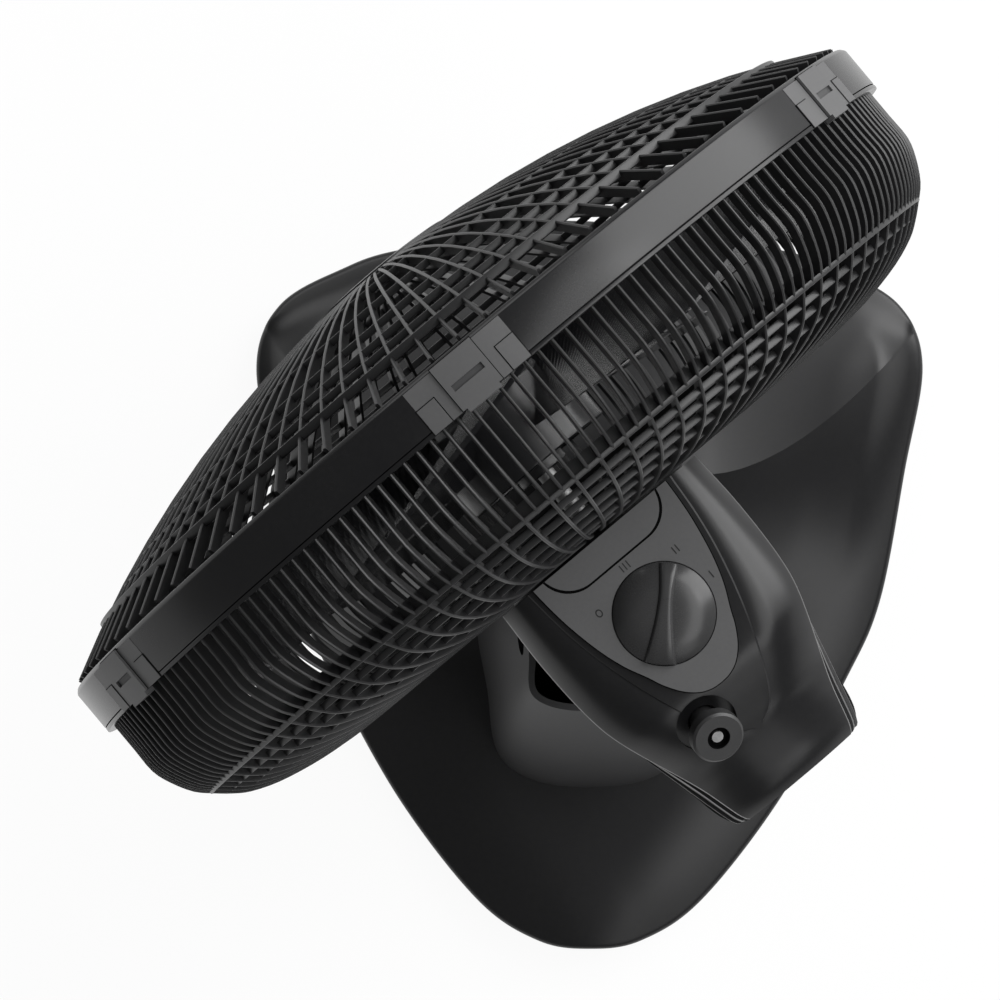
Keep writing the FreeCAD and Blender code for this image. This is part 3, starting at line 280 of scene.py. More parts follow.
def spun(profile, segments):
    # turns a closed (radius, height) line about Z
    points = []
    faces = []
    count = len(profile)
    for i in range(segments):
        turn = 2 * math.pi * i / segments
        points += [(r * math.cos(turn), r * math.sin(turn), a) for r, a in profile]
    for i in range(segments):
        here = i * count
        there = (i + 1) % segments * count
        for j in range(count):
            k = (j + 1) % count
            faces.append((here + j, there + j, there + k, here + k))
    return points, faces


def rounded(corners, bend, steps=meshing["cornerSteps"]):
    # rounds the corners of a closed (radius, height) line
    line = []
    count = len(corners)
    for i in range(count):
        here = Vector(corners[i])
        before = Vector(corners[i - 1]) - here
        after = Vector(corners[(i + 1) % count]) - here
        reach = min(bend, before.length * meshing["cornerShare"], after.length * meshing["cornerShare"])
        start = here + before.normalized() * reach
        end = here + after.normalized() * reach
        for k in range(steps + 1):
            t = k / steps
            line.append(tuple(start * (1 - t) ** 2 + here * 2 * t * (1 - t) + end * t * t))
    return line


def rodMesh(name, radius, low, high, segments):
    # solid round bar along Z
    needle = meshing["needle"]
    line = [(needle, low), (radius, low), (radius, high), (needle, high)]
    return cleaned(rawMesh(name, *spun(line, segments)), meshing["needleMerge"])


def extruded(name, outline, low, high):
    # upright prism over a closed outline
    count = len(outline)
    points = [(x, y, z) for z in (low, high) for x, y in outline]
    faces = [tuple(range(count - 1, -1, -1)), tuple(range(count, 2 * count))]
    faces += [(i, (i + 1) % count, (i + 1) % count + count, i + count) for i in range(count)]
    return rawMesh(name, points, faces)


def tubeFaces(stations, around):
    # closed section carried through the stations, both ends capped
    faces = []
    for i in range(stations - 1):
        here = i * around
        there = here + around
        for j in range(around):
            k = (j + 1) % around
            faces.append((here + j, here + k, there + k, there + j))
    faces.append(tuple(range(around)))
    faces.append(tuple(range(stations * around - 1, (stations - 1) * around - 1, -1)))
    return faces


def gridFaces(rows, columns):
    corners = [i * columns + j for i in range(rows - 1) for j in range(columns - 1)]
    return [(a, a + columns, a + columns + 1, a + 1) for a in corners]


def gridRim(rows, columns):
    # points round the edge of a grid, in order
    last = rows - 1
    rim = [i * columns for i in range(rows)]
    rim += [last * columns + j for j in range(1, columns)]
    rim += [i * columns + columns - 1 for i in range(last - 1, -1, -1)]
    return rim + list(range(columns - 2, 0, -1))


def smoothLine(points, steps):
    # Catmull-Rom line through the points
    knots = [Vector(p) for p in points]
    knots = [knots[0] * 2 - knots[1]] + knots + [knots[-1] * 2 - knots[-2]]
    line = []
    for i in range(1, len(knots) - 2):
        a, b, c, d = knots[i - 1:i + 3]
        for k in range(steps):
            t = k / steps
            line.append(0.5 * ((2 * b) + (c - a) * t + (2 * a - 5 * b + 4 * c - d) * t * t
                               + (3 * b - a - 3 * c + d) * t ** 3))
    line.append(knots[-2])
    return line


def lineAt(table, at):
    # smooth reading of a table of (place, value)
    for i, ((p0, v0), (p1, v1)) in enumerate(zip(table, table[1:])):
        if at <= p1:
            before = table[max(0, i - 1)]
            after = table[min(len(table) - 1, i + 2)]
            span = p1 - p0
            m0 = (v1 - before[1]) / (p1 - before[0]) * span
            m1 = (after[1] - v0) / (after[0] - p0) * span
            t = (at - p0) / span
            return (v0 * (2 * t ** 3 - 3 * t * t + 1) + m0 * (t ** 3 - 2 * t * t + t)
                    + v1 * (3 * t * t - 2 * t ** 3) + m1 * (t ** 3 - t * t))
    return table[-1][1]


def easedShare(value):
    share = min(1.0, max(0.0, value))
    return share * share * (3 - 2 * share)


def tempObject(mesh):
    return placed(mesh.name, mesh)


def baked(holder, others=()):
    # mesh with its modifiers applied; the helper objects go
    bpy.context.view_layer.update()
    mesh = bpy.data.meshes.new_from_object(holder.evaluated_get(bpy.context.evaluated_depsgraph_get()))
    holder.modifiers.clear()
    for one in (holder, *others):
        bpy.data.objects.remove(one)
    return mesh


def cutBy(holder, cutter):
    step = holder.modifiers.new("cut", "BOOLEAN")
    step.operation = "DIFFERENCE"
    step.solver = "EXACT"
    step.object = cutter


def roundTree():
    # repeats the modified mesh about Z
    tree = bpy.data.node_groups.new("repeatRound", "GeometryNodeTree")
    for name, kind in (("Geometry", "Geometry"), ("Count", "Int"), ("Start", "Float"), ("Finish", "Material")):
        tree.interface.new_socket(name, in_out="INPUT", socket_type="NodeSocket" + kind)
    tree.interface.new_socket("Geometry", in_out="OUTPUT", socket_type="NodeSocketGeometry")
    w = Wire(tree)
    given = tree.nodes.new("NodeGroupInput")
    shape, count, start, finish = (Wire(tree, given.outputs[n]) for n in range(4))
    step = w.maths("DIVIDE", 2 * math.pi, count)
    turn = w.make("GeometryNodeInputIndex") * step + start
    spin = w.make("ShaderNodeCombineXYZ", None, {"Z": turn})
    places = w.make("GeometryNodePoints", None, {"Count": count})
    copies = w.make("GeometryNodeInstanceOnPoints", None,
                    {"Points": places, "Instance": shape, "Rotation": spin})
    solid = w.make("GeometryNodeRealizeInstances", None, {"Geometry": copies})
    painted = w.make("GeometryNodeSetMaterial", None, {"Geometry": solid, "Material": finish})
    w.make("NodeGroupOutput", None, {0: painted})
    return tree


repeatRound = roundTree()


def repeated(mesh, count, start, finish):
    # start in degrees; gives a plain mesh
    holder = tempObject(mesh)
    modifier = holder.modifiers.new("repeat", "NODES")
    modifier.node_group = repeatRound
    values = {"Count": count, "Start": math.radians(start), "Finish": finishes[finish]}
    for item in repeatRound.interface.items_tree:
        if item.in_out == "INPUT" and item.name in values:
            modifier[item.identifier] = values[item.name]
    return baked(holder)


# camera straight above, its foot a little off the base's middle; focal and nadir in pixels of the picture
view = {"foot": (0.0027, -0.0147), "height": 2.462, "focal": 4988.0, "nadir": (584.0, 556.0), "pixels": 1000.0,
        "sensor": 36.0, "clipEnd": 50.0}


def buildCamera():
    middle = view["pixels"] / 2
    camera = bpy.data.cameras.new("camera")
    camera.sensor_width = view["sensor"]
    camera.lens = view["focal"] * view["sensor"] / view["pixels"]
    camera.shift_x = -(view["nadir"][0] - middle) / view["pixels"]
    camera.shift_y = (view["nadir"][1] - middle) / view["pixels"]
    camera.clip_end = view["clipEnd"]
    cameraObject = placed("camera", camera)
    cameraObject.location = groundMatrix @ Vector((*view["foot"], view["height"]))
    cameraObject.rotation_euler = (0, 0, math.pi)
    scene.camera = cameraObject


buildCamera()
print("camera placed")


# guard: (radius, place along the shaft) lines of the rear ribs, rims and rings; the seat counts from the dome
guard = {"ribs": 96, "ribWide": 1.45, "ribDeep": 4.6, "ribEdge": 0.5, "frontFrom": 35.0, "frontTo": 211.0,
         "frontSteps": 9, "lineSteps": 3, "sideKnots": 6, "rollFrom": 2, "band": 215.0, "segments": 192,
         "bendSteps": 2, "bend": 0.5, "rearBend": 0.3, "domeTop": 66.8, "domeRadius": 444.0, "capRadius": 36.0,
         "backFlat": 80.5, "hoopHalf": 1.0, "rearHoopRaise": 4.4, "rearHoopDeep": 3.0, "frontHoopSink": 0.6,
         "frontHoopDeep": 3.2, "ring": 186.5, "ringHalf": 2.0, "ringRaise": 0.6, "ringDeep": 4.0,
         "rearHoops": (190.5, 184.0, 174.0, 161.0, 143.0, 120.0, 96.0, 72.0),
         "frontHoops": (173.6, 161.5, 145.0, 117.0, 80.0, 58.0),
         "rearLine": [(211.5, -9.6), (211.5, -24.0), (211.5, -36.0), (208.6, -45.0), (203.6, -54.0),
                      (197.6, -60.0), (191.0, -65.6), (184.5, -69.8), (173.0, -74.2), (157.0, -77.7),
                      (141.0, -79.6), (120.0, -80.5), (45.0, -80.5)],
         "rearRim": [(212.4, -0.15), (212.4, -9.0), (206.4, -9.0), (206.4, -11.3), (215.0, -11.3),
                     (215.0, -9.55), (213.6, -9.55), (213.6, -0.15)],
         "shoulder": [(194.4, -52.0), (196.4, -52.0), (196.4, -57.6), (199.2, -57.6), (198.4, -59.8),
                      (194.4, -59.8)],
         "mount": [(20.2, -82.8), (47.0, -82.8), (47.0, -77.5), (44.0, -77.5), (44.0, -80.2), (20.2, -80.2)],
         "frontRim": [(212.4, 0.15), (213.75, 0.15), (213.75, -9.2), (215.0, -9.2), (215.0, 9.2),
                      (213.5, 11.0), (208.0, 11.0), (208.0, 8.4), (212.4, 8.4)],
         "seat": [(8.0, -4.4), (40.0, -4.4), (40.0, -0.4), (36.4, -0.4), (36.4, -2.4), (8.0, -2.4)]}


def domeHeight(radius):
    return guard["domeTop"] - guard["domeRadius"] + math.sqrt(guard["domeRadius"] ** 2 - radius ** 2)


def backHeight(radius):
    roll = guard["rearLine"][guard["rollFrom"]:]
    for (r0, a0), (r1, a1) in zip(roll, roll[1:]):
        if r1 <= radius <= r0:
            return a0 + (a1 - a0) * (r0 - radius) / (r0 - r1)
    return -guard["backFlat"]


def ribMesh(name, line, side):
    # a rib along a (radius, height) line; side turns its depth to the guard's inside
    points = []
    half = guard["ribWide"] / 2
    edge, deep = guard["ribEdge"], guard["ribDeep"]
    section = [(-half, deep), (-half, edge), (-half + edge, 0), (half - edge, 0), (half, edge), (half, deep)]
    for i, here in enumerate(line):
        along = (line[min(i + 1, len(line) - 1)] - line[max(i - 1, 0)]).normalized()
        inward = Vector((-along.y, along.x)) * side
        for across, down in section:
            place = here + inward * down
            points.append((place.x, across, place.y))
    return rawMesh(name, points, tubeFaces(len(line), len(section)))


def allRibs(name, line, side, start):
    return repeated(ribMesh(name, line, side), guard["ribs"], start, "guard")


def hoopMesh(name, corners, bend=guard["bend"]):
    return rawMesh(name, *spun(rounded(corners, bend, guard["bendSteps"]), guard["segments"]))


def plainHoop(name, radius, half, front, deep):
    corners = [(radius - half, front - deep), (radius + half, front - deep), (radius + half, front),
               (radius - half, front)]
    return hoopMesh(name, corners)


def addGuardPiece(name, mesh, finish, nodes=()):
    addPiece(name, mesh, axleMatrix, finish, "head", nodes)


def buildRearGuard():
    line = smoothLine(guard["rearLine"], guard["lineSteps"])
    sideLine = smoothLine(guard["rearLine"][:guard["sideKnots"]], guard["lineSteps"])
    meshes = [allRibs("rearRib", line, -1, 180 / guard["ribs"]), allRibs("sideRib", sideLine, -1, 0)]
    addGuardPiece("rearBand", hoopMesh("rearBand", guard["rearRim"], guard["rearBend"]), "band")
    meshes += [hoopMesh("shoulderHoop", guard["shoulder"]), hoopMesh("mountRing", guard["mount"])]
    for radius in guard["rearHoops"]:
        front = backHeight(radius) + guard["rearHoopRaise"]
        meshes.append(plainHoop("backHoop", radius, guard["hoopHalf"], front, guard["rearHoopDeep"]))
    addGuardPiece("guardRear", joined("guardRear", meshes), "guard", ["rear_grille"])


def buildFrontGuard():
    near, far, steps = guard["frontFrom"], guard["frontTo"], guard["frontSteps"]
    reach = [near + (far - near) * i / steps for i in range(steps, -1, -1)]
    line = [Vector((r, domeHeight(r))) for r in reach]
    meshes = [allRibs("frontRib", line, 1, 180 / guard["ribs"])]
    addGuardPiece("frontBand", hoopMesh("frontBand", guard["frontRim"]), "band")
    ringTop = domeHeight(guard["ring"]) + guard["ringRaise"]
    meshes.append(plainHoop("flatRing", guard["ring"], guard["ringHalf"], ringTop, guard["ringDeep"]))
    low = domeHeight(guard["capRadius"])
    meshes.append(hoopMesh("capSeat", [(r, low + a) for r, a in guard["seat"]]))
    for radius in guard["frontHoops"]:
        front = domeHeight(radius) - guard["frontHoopSink"]
        meshes.append(plainHoop("frontHoop", radius, guard["hoopHalf"], front, guard["frontHoopDeep"]))
    addGuardPiece("guardFront", joined("guardFront", meshes), "guard", ["front_grille"])


buildRearGuard()
buildFrontGuard()
print("guard built")


# rim clips: a slotted tongue and a tab on each side, on a thin sleeve over the band; near-black sheets a little
# larger than them paint the shade in the gaps between
clip = {"count": 6, "start": 90.0, "steps": 8, "sink": 0.1, "tongue": 20.0, "rear": -13.1, "front": 9.7,
        "top": 216.4, "hook": 2.0, "hookDeep": 3.2, "slotLong": 15.0, "slotLow": -3.2, "slotHigh": -0.4,
        "slotFloor": 0.3, "slotLining": 0.42, "tabNear": 15.5, "tabFar": 24.2, "tabLow": -11.2, "tabHigh": 0.4,
        "tabTop": 215.5, "sleeve": 0.12, "sleeveHigh": 9.0, "gap": 0.4, "gapSink": 0.2, "gapTop": 0.24}


def archPlate(left, right, inner, outer, low, high):
    # plate bent round the band; left and right are lengths along it from the clip's middle
    points = []
    steps = clip["steps"]
    for i in range(steps + 1):
        turn = (left + (right - left) * i / steps) / guard["band"]
        for r, a in ((inner, low), (outer, low), (outer, high), (inner, high)):
            points.append((r * math.cos(turn), r * math.sin(turn), a))
    return rawMesh("archPlate", points, tubeFaces(steps + 1, 4))


def buildClips():
    half = clip["tongue"] / 2
    slot = clip["slotLong"] / 2
    low, high = clip["slotLow"], clip["slotHigh"]
    hook, tab, gap = clip["hook"], clip["tabFar"], clip["gap"]
    hookEnd = clip["rear"] + hook
    band, top = guard["band"], clip["top"]
    under = band - clip["sink"]
    gapUnder, gapTop = band - clip["gapSink"], band + clip["gapTop"]
    plates = [archPlate(-half, half, under, top, high, clip["front"]),
              archPlate(-half, half, under, top, hookEnd, low),
              archPlate(-half + hook, half - hook, band - clip["hookDeep"], top, clip["rear"], hookEnd),
              archPlate(-half, -slot, under, top, low, high),
              archPlate(slot, half, under, top, low, high),
              archPlate(-slot, slot, under, band + clip["slotFloor"], low, high),
              archPlate(-tab, tab, under, band + clip["sleeve"], clip["tabLow"], clip["sleeveHigh"])]
    # painted shade: near-black sheets under the tongue and tabs, seen as dark gaps round them
    gaps = [archPlate(-half - gap, half + gap, gapUnder, gapTop, clip["tabLow"], clip["front"] + gap)]
    for side in (1, -1):
        near, far = sorted((side * clip["tabNear"], side * tab))
        plates.append(archPlate(near, far, under, clip["tabTop"], clip["tabLow"], clip["tabHigh"]))
        gaps.append(archPlate(near - gap, far + gap, gapUnder, gapTop, clip["tabLow"], clip["tabHigh"] + gap))
    lining = [archPlate(-slot, slot, band + clip["sink"], band + clip["slotLining"], low, high)]
    for name, meshes, finish, nodes in (("rimClips", plates, "clip", ["rim_clips"]),
                                        ("clipGapShade", gaps, "shadeSheet", ()), ("clipSlots", lining, "column", ())):
        mesh = repeated(joined(name, meshes), clip["count"], clip["start"], finish)
        addGuardPiece(name, mesh, finish, nodes)


buildClips()
print("clips built")


# fan blade: widths and turns in degrees, from root to tip; the hub is a (radius, height) line
blade = {"count": 6, "root": 32.0, "tip": 183.0, "thick": 2.2, "spans": 30, "chords": 20, "turn": 8.0,
         "wide": 44.0, "widen": 22.0, "tipFrom": 0.75, "tipRound": 416.0, "sweep": 16.0, "pitch": 26.0,
         "pitchGrow": 16.0, "camber": 5.0, "middle": -15.0, "edgeThin": 0.75, "edgePower": 4,
         "hubBend": 1.2, "hubSegments": 96,
         "hub": [(4.05, -46.0), (12.0, -46.0), (12.0, -9.0), (33.0, -9.0), (33.0, -42.0), (36.0, -42.0),
                 (36.0, -7.0), (30.0, -2.0), (4.05, -2.0)]}


def bladePoint(span, chord, liftOff):
    radius = blade["root"] + span * (blade["tip"] - blade["root"])
    trim = blade["tipRound"] * max(0.0, span - blade["tipFrom"]) ** 2 * abs(chord - 0.5)
    width = blade["wide"] + blade["widen"] * span - trim
    angle = math.radians(width * (chord - 0.5) + blade["sweep"] * span * span)
    rise = blade["pitch"] + blade["pitchGrow"] * span
    camber = blade["camber"] * (1 - (2 * chord - 1) ** 2)
    height = blade["middle"] + rise * (chord - 0.5) - camber * span + liftOff
    return (radius * math.cos(angle), radius * math.sin(angle), height)


def buildBlades():
    spans, chords = blade["spans"], blade["chords"]
    row = chords + 1
    sheet = (spans + 1) * row
    points = []
    for side in (0.5, -0.5):
        for i in range(spans + 1):
            for j in range(row):
                thin = 1 - blade["edgeThin"] * abs(2 * j / chords - 1) ** blade["edgePower"]
                points.append(bladePoint(i / spans, j / chords, side * blade["thick"] * thin))
    faces = gridFaces(spans + 1, row)
    faces += [(a + sheet, d + sheet, c + sheet, b + sheet) for a, b, c, d in faces]
    rim = gridRim(spans + 1, row)
    faces += [(a, a + sheet, b + sheet, b) for a, b in zip(rim, rim[1:] + rim[:1])]
    mesh = rawMesh("oneBlade", points, faces)
    layer = mesh.uv_layers.new(name="along")
    for loop in mesh.loops:
        at = loop.vertex_index % sheet
        layer.data[loop.index].uv = (at % row / chords, at // row / spans)
    blades = repeated(mesh, blade["count"], blade["turn"], "blade")
    hub = rawMesh("bladeHub", *spun(rounded(blade["hub"], blade["hubBend"]), blade["hubSegments"]))
    hub.uv_layers.new(name="along")
    addPiece("fanBlades", joined("fanBlades", [blades, hub]), axleMatrix, "blade", "rotor",
             ["fan_blade"])


buildBlades()
print("blades built")


# speed dial: crowned disc with a raised grip that widens to its tail; gripSide counts from the grip's edge and top
dial = {"back": 124.0, "radius": 21.7, "rim": 66.9, "crown": 5.6, "power": 3.4, "turn": -45.0, "segments": 128,
        "angle": 40, "stem": 4.0, "stemLow": 46.0, "under": 64.8, "edgeLow": 0.5, "edgeIn": 0.12, "edgeHigh": 0.05,
        "rings": (0.985, 0.965, 0.94, 0.91, 0.87, 0.82, 0.76, 0.69, 0.6, 0.5, 0.35, 0.2, 0.0),
        "stations": 40, "short": 0.75, "raise": 1.5, "sink": 2.2, "lean": 1.9,
        "gripSide": [(1.0, 0.855, -1.1), (1.0, 0.18, -0.3), (1.0, -0.3, 0.0), (0.4, 0.0, 0.1)],
        "grip": [(-20.9, 2.9), (-9.0, 2.1), (0.6, 2.6), (8.6, 3.6), (20.9, 5.6)]}
dialMatrix = headMatrix @ Matrix.Translation((0, dial["back"] * mm, 0))


def dialHeight(r):
    return dial["rim"] + dial["crown"] * (1 - min(1.0, r / dial["radius"]) ** dial["power"])


def dialCap():
    r, rim, stem = dial["radius"], dial["rim"], dial["stem"]
    needle = meshing["needle"]
    line = [(needle, dial["stemLow"]), (stem, dial["stemLow"]), (stem, dial["under"]), (r, dial["under"]),
            (r, rim - dial["edgeLow"]), (r - dial["edgeIn"], rim + dial["edgeHigh"])]
    line += [(max(needle, r * share), dialHeight(r * share)) for share in dial["rings"]]
    return cleaned(rawMesh("dialCap", *spun(line, dial["segments"])), meshing["needleMerge"])


def dialGrip():
    points = []
    stations = dial["stations"]
    for i in range(stations + 1):
        y = (dial["radius"] - dial["short"]) * (-1 + 2 * i / stations)
        half = lineAt(dial["grip"], y)
        crown = dialHeight(abs(y))
        top = crown + dial["raise"]
        side = [(half + dial["lean"], crown - dial["sink"])]
        side += [(half * share + out, top + rise) for share, out, rise in dial["gripSide"]]
        section = [(-x, z) for x, z in side] + list(reversed(side))
        points += [(x, y, z) for x, z in section]
    grip = rawMesh("dialGrip", points, tubeFaces(stations + 1, len(section)))
    grip.transform(Matrix.Rotation(math.radians(dial["turn"]), 4, "Z"))
    return grip


addPiece("speedDial", joined("speedDial", [dialCap(), dialGrip()]), dialMatrix, "gloss", "speed_dial",
         ["speed_dial"], dial["angle"])


# printed marks round the dial: bars along the shaft (place and count) and a small ring (place and radii)
marks = {"length": 3.5, "wide": 0.5, "gap": 1.75, "low": 66.45, "high": 66.6, "stretch": 1.25, "segments": 32,
         "bars": ((-25.7, 0.0, 1), (-20.9, -17.6, 2), (0.0, -25.7, 3)), "ring": (20.8, -17.5, 1.45, 1.0)}


def barMesh(x, y):
    half = marks["wide"] / 2
    reach = marks["length"] / 2
    corners = [(x - half, y - reach), (x + half, y - reach), (x + half, y + reach), (x - half, y + reach)]
    return extruded("bar", corners, marks["low"], marks["high"])


def buildMarks():
    meshes = []
    for x, y, count in marks["bars"]:
        for i in range(count):
            meshes.append(barMesh(x + (i - (count - 1) / 2) * marks["gap"], y))
    x, y, outer, inner = marks["ring"]
    line = [(inner, marks["low"]), (outer, marks["low"]), (outer, marks["high"]), (inner, marks["high"])]
    ring = rawMesh("ringMark", *spun(line, marks["segments"]))
    ring.transform(Matrix.Translation((x, y, 0)) @ Matrix.Diagonal((1.0, marks["stretch"], 1.0, 1.0)))
    meshes.append(ring)
    addPiece("dialMarks", joined("dialMarks", meshes), dialMatrix, "mark", "head")


buildMarks()
print("dial and marks built")


# top cover: sections across the shaft, with a raised spine, side ledges and the knob's recess
# tables read (place along the shaft, value); foot and ledges are (outward, down) steps; tail is (share, back)
cover = {"wide": [(81.6, 52.5), (110.0, 53.5), (140.0, 52.0), (165.0, 47.0), (190.0, 41.0), (211.0, 35.6),
                  (214.5, 34.0)],
         "top": [(81.6, 64.4), (120.0, 64.4), (156.0, 64.0), (168.0, 59.6), (180.0, 53.0), (192.0, 46.0),
                 (203.0, 40.5), (211.0, 37.0), (214.5, 33.6)],
         "spine": [(81.6, 39.0), (100.0, 37.4), (118.0, 34.4), (140.0, 28.6), (161.0, 21.0), (176.0, 14.2),
                   (183.0, 8.5), (187.0, 0.6), (214.5, 0.6)],
         "spineLeast": 0.3, "spinePoints": 5, "spineEdge": 0.5, "spineStep": 0.25, "thin": 3, "full": 10.0,
         "drop": 0.9, "crown": 0.12, "shoulder": 14.0, "shoulderShare": 0.45, "power": 2.4, "arc": 22,
         "growFrom": 145.0, "growLong": 55.0, "inset": 5.2, "ledge": 13.0, "low": 0.15, "wall": 2.4,
         "foot": [(0.35, 1.2), (0.5, 3.0)],
         "ledges": [(2.4, 0.1), (2.6, 0.6), (3.6, 8.0), (3.8, 8.3), (5.0, 8.5), (5.2, 9.0)],
         "tail": ((0.97, 0.9), (0.6, 1.5), (0.2, 1.9)), "stations": 64, "open": 1.0, "merge": 1e-4,
         "angle": 24}
knob = {"top": (16.0, 178.5, 70.0), "lean": 30.0, "recess": 13.2, "floor": 18.0, "bossWall": 2.2, "bossFloor": 2.5,
        "above": -30.0, "stemHole": 7.2, "stemLow": 40.0, "wellIn": 2.55, "wellOut": 4.95, "wellDeep": 2.95,
        "lining": 0.3, "segments": 72}
knobPlace = Matrix.Translation(knob["top"]) @ Matrix.Rotation(math.radians(-knob["lean"]), 4, "X")


def coverHalf(y):
    wide = lineAt(cover["wide"], y)
    top = lineAt(cover["top"], y)
    spine = max(cover["spineLeast"], lineAt(cover["spine"], y))
    grow = easedShare((y - cover["growFrom"]) / cover["growLong"])
    inside = wide - cover["inset"] * grow
    ledge = cover["ledge"]
    edgeShare = min(1.0, spine / cover["full"]) ** 2
    brow = top - cover["drop"] * edgeShare
    side = spine + cover["spineStep"]
    count = cover["spinePoints"]
    half = [(spine * k / count, top + cover["crown"] * edgeShare) for k in range(count)]
    half += [(spine - cover["spineEdge"] * min(1, spine / cover["thin"]), top), (side, brow)]
    shoulder = min(cover["shoulder"], cover["shoulderShare"] * (brow - ledge))
    for k in range(1, cover["arc"] + 1):
        share = math.sin(math.pi / 2 * k / cover["arc"])
        half.append((side + (inside - side) * share, brow - shoulder * share ** cover["power"]))
    end = half[-1][1]
    half += [(inside + out, end - down) for out, down in cover["foot"]]
    half.append((inside + cover["foot"][-1][0], ledge))
    half += [(inside + out * grow, ledge - down) for out, down in cover["ledges"]]
    return half + [(wide, cover["low"])]


def coverSurface(name, inset):
    # closed body of the cover; with an inset it is the hollow inside, open to the front and below
    rows = []
    start = cover["wide"][0][0]
    past = cover["open"] if inset else 0.0
    first = start - past
    last = cover["wide"][-1][0] - inset
    low = cover["low"] - past
    for i in range(cover["stations"] + 1):
        y = first + (last - first) * i / cover["stations"]
        half = coverHalf(max(y, start))
        across = 1 - inset / half[-1][0]
        up = 1 - inset / (half[0][1] - cover["low"])
        half = [(x * across, low + (z - cover["low"]) * up) for x, z in half]
        rows.append([(-x, y, z) for x, z in reversed(half[1:])] + [(x, y, z) for x, z in half])
    endRow = rows[-1]
    for share, back in cover["tail"]:
        rows.append([(x * share, last + back, low + (z - low) * share) for x, y, z in endRow])
    count = len(endRow)
    points = [p for row in rows for p in row]
    faces = gridFaces(len(rows), count)
    faces.append(tuple(range(len(points) - count, len(points))))
    faces.append(tuple(range(count - 1, -1, -1)))
    left = [i * count for i in range(len(rows))]
    right = [i + count - 1 for i in left]
    faces.append(tuple(left + right[::-1]))
    return cleaned(rawMesh(name, points, faces), cover["merge"])


def knobRod(name, radius, low, high):
    # round bar along the knob's lean; low and high count from the knob's top, downwards
    mesh = rodMesh(name, radius, -low, -high, knob["segments"])
    mesh.transform(knobPlace)
    return tempObject(mesh)


def buildCoverTop():
    hollow = tempObject(coverSurface("coverHollow", cover["wall"]))
    bossLow = knob["floor"] + knob["bossFloor"]
    boss = knobRod("recessBoss", knob["recess"] + knob["bossWall"], bossLow, knob["above"])
    cutBy(hollow, boss)
    inside = tempObject(baked(hollow, [boss]))
    body = tempObject(coverSurface("coverBody", 0.0))
    cutters = [inside, knobRod("recessPit", knob["recess"], knob["floor"], knob["above"]),
               knobRod("stemHole", knob["stemHole"], knob["stemLow"], 0.0)]
    for cutter in cutters:
        cutBy(body, cutter)
    addPiece("coverTop", baked(body, cutters), headMatrix, "shell", "head",
             ["motor_cover_top"], cover["angle"])


def buildKnobWell():
    # painted shade: near-black lining in the ring recess round the rod's end
    near, far, low, wall = knob["wellIn"], knob["wellOut"], -knob["wellDeep"], knob["lining"]
    floor, inner = low + wall, far - wall
    line = [(near, low), (far, low), (far, -wall), (inner, -wall), (inner, floor), (near, floor)]
    lining = rawMesh("knobWell", *spun(line, knob["segments"]))
    lining.transform(knobPlace)
    addPiece("knobWell", lining, headMatrix, "shadeSheet", "clutch_knob")


buildCoverTop()
buildKnobWell()
print("top cover built")


# control panel with its front collar; a near-black sheet under the joint round both paints the shade in the gap;
# half is one side of the panel's outline
panel = {"low": 64.5, "high": 66.5, "gap": 0.45, "collarGap": 0.9, "collarHalf": 30.0, "collarTail": 94.5,
         "collarThick": 0.32, "bend": 15.0, "bendSteps": 12, "front": 81.8, "frontGap": 0.02, "frontStep": 0.1,
         "seamSink": 0.05, "seamDown": 0.35, "dialGap": 0.35, "holeSegments": 96, "cutLow": 50.0, "cutHigh": 80.0,
         "lineSteps": 6,
         "half": [(36.0, 81.8), (35.4, 91.0), (34.0, 103.0), (31.0, 118.0), (27.2, 130.0), (22.5, 140.0),
                  (19.4, 147.0), (15.0, 153.8), (9.8, 158.6), (4.6, 160.8), (0.0, 161.3)]}


def panelOutline(grow):
    half = smoothLine(panel["half"], panel["lineSteps"])
    outline = []
    for i, p in enumerate(half):
        along = half[min(i + 1, len(half) - 1)] - half[max(i - 1, 0)]
        out = Vector((along.y, -along.x)).normalized() * grow
        outline.append((p.x + out.x, p.y + out.y if i else p.y))
    return outline + [(-x, y) for x, y in reversed(outline[:-1])]


def collarOutline(grow):
    half = panel["collarHalf"] + grow
    tail = panel["collarTail"] + grow
    bend = panel["bend"]
    front = panel["front"] + panel["frontGap"]
    side = [(half, front)]
    for k in range(panel["bendSteps"] + 1):
        turn = math.pi / 2 * k / panel["bendSteps"]
        y = tail - bend + bend * math.sin(turn)
        side.append((half - bend + bend * math.cos(turn), max(front + panel["frontStep"] * k, y)))
    return side + [(-x, y) for x, y in reversed(side)]


def panelCutters(withCollar):
    cutters = []
    if withCollar:
        collar = extruded("collarCut", collarOutline(panel["collarGap"]), panel["cutLow"], panel["cutHigh"])
        cutters.append(tempObject(collar))
    radius = dial["radius"] + panel["dialGap"]
    hole = rodMesh("dialHole", radius, panel["cutLow"], panel["cutHigh"], panel["holeSegments"])
    hole.transform(Matrix.Translation((0, dial["back"], 0)))
    return cutters + [tempObject(hole)]


def addPlate(name, finish, outline, low, high, cutters=(), nodes=()):
    plate = tempObject(extruded(name, outline, low, high))
    for cutter in cutters:
        cutBy(plate, cutter)
    addPiece(name, baked(plate, cutters), headMatrix, finish, "head", nodes)


def buildPanel():
    low, high = panel["low"], panel["high"]
    addPlate("controlPanel", "panel", panelOutline(0.0), low, high, panelCutters(True), ["control_panel"])
    # painted shade: near-black sheet under the panel's edge, seen as a dark line in the gap
    addPlate("panelGapShade", "shadeSheet", panelOutline(panel["gap"]), low - panel["seamSink"], high - panel["seamDown"],
             panelCutters(False))
    addPlate("frontCollar", "panel", collarOutline(0.0), high - panel["collarThick"], high, (), ["front_collar"])


buildPanel()
print("panel built")


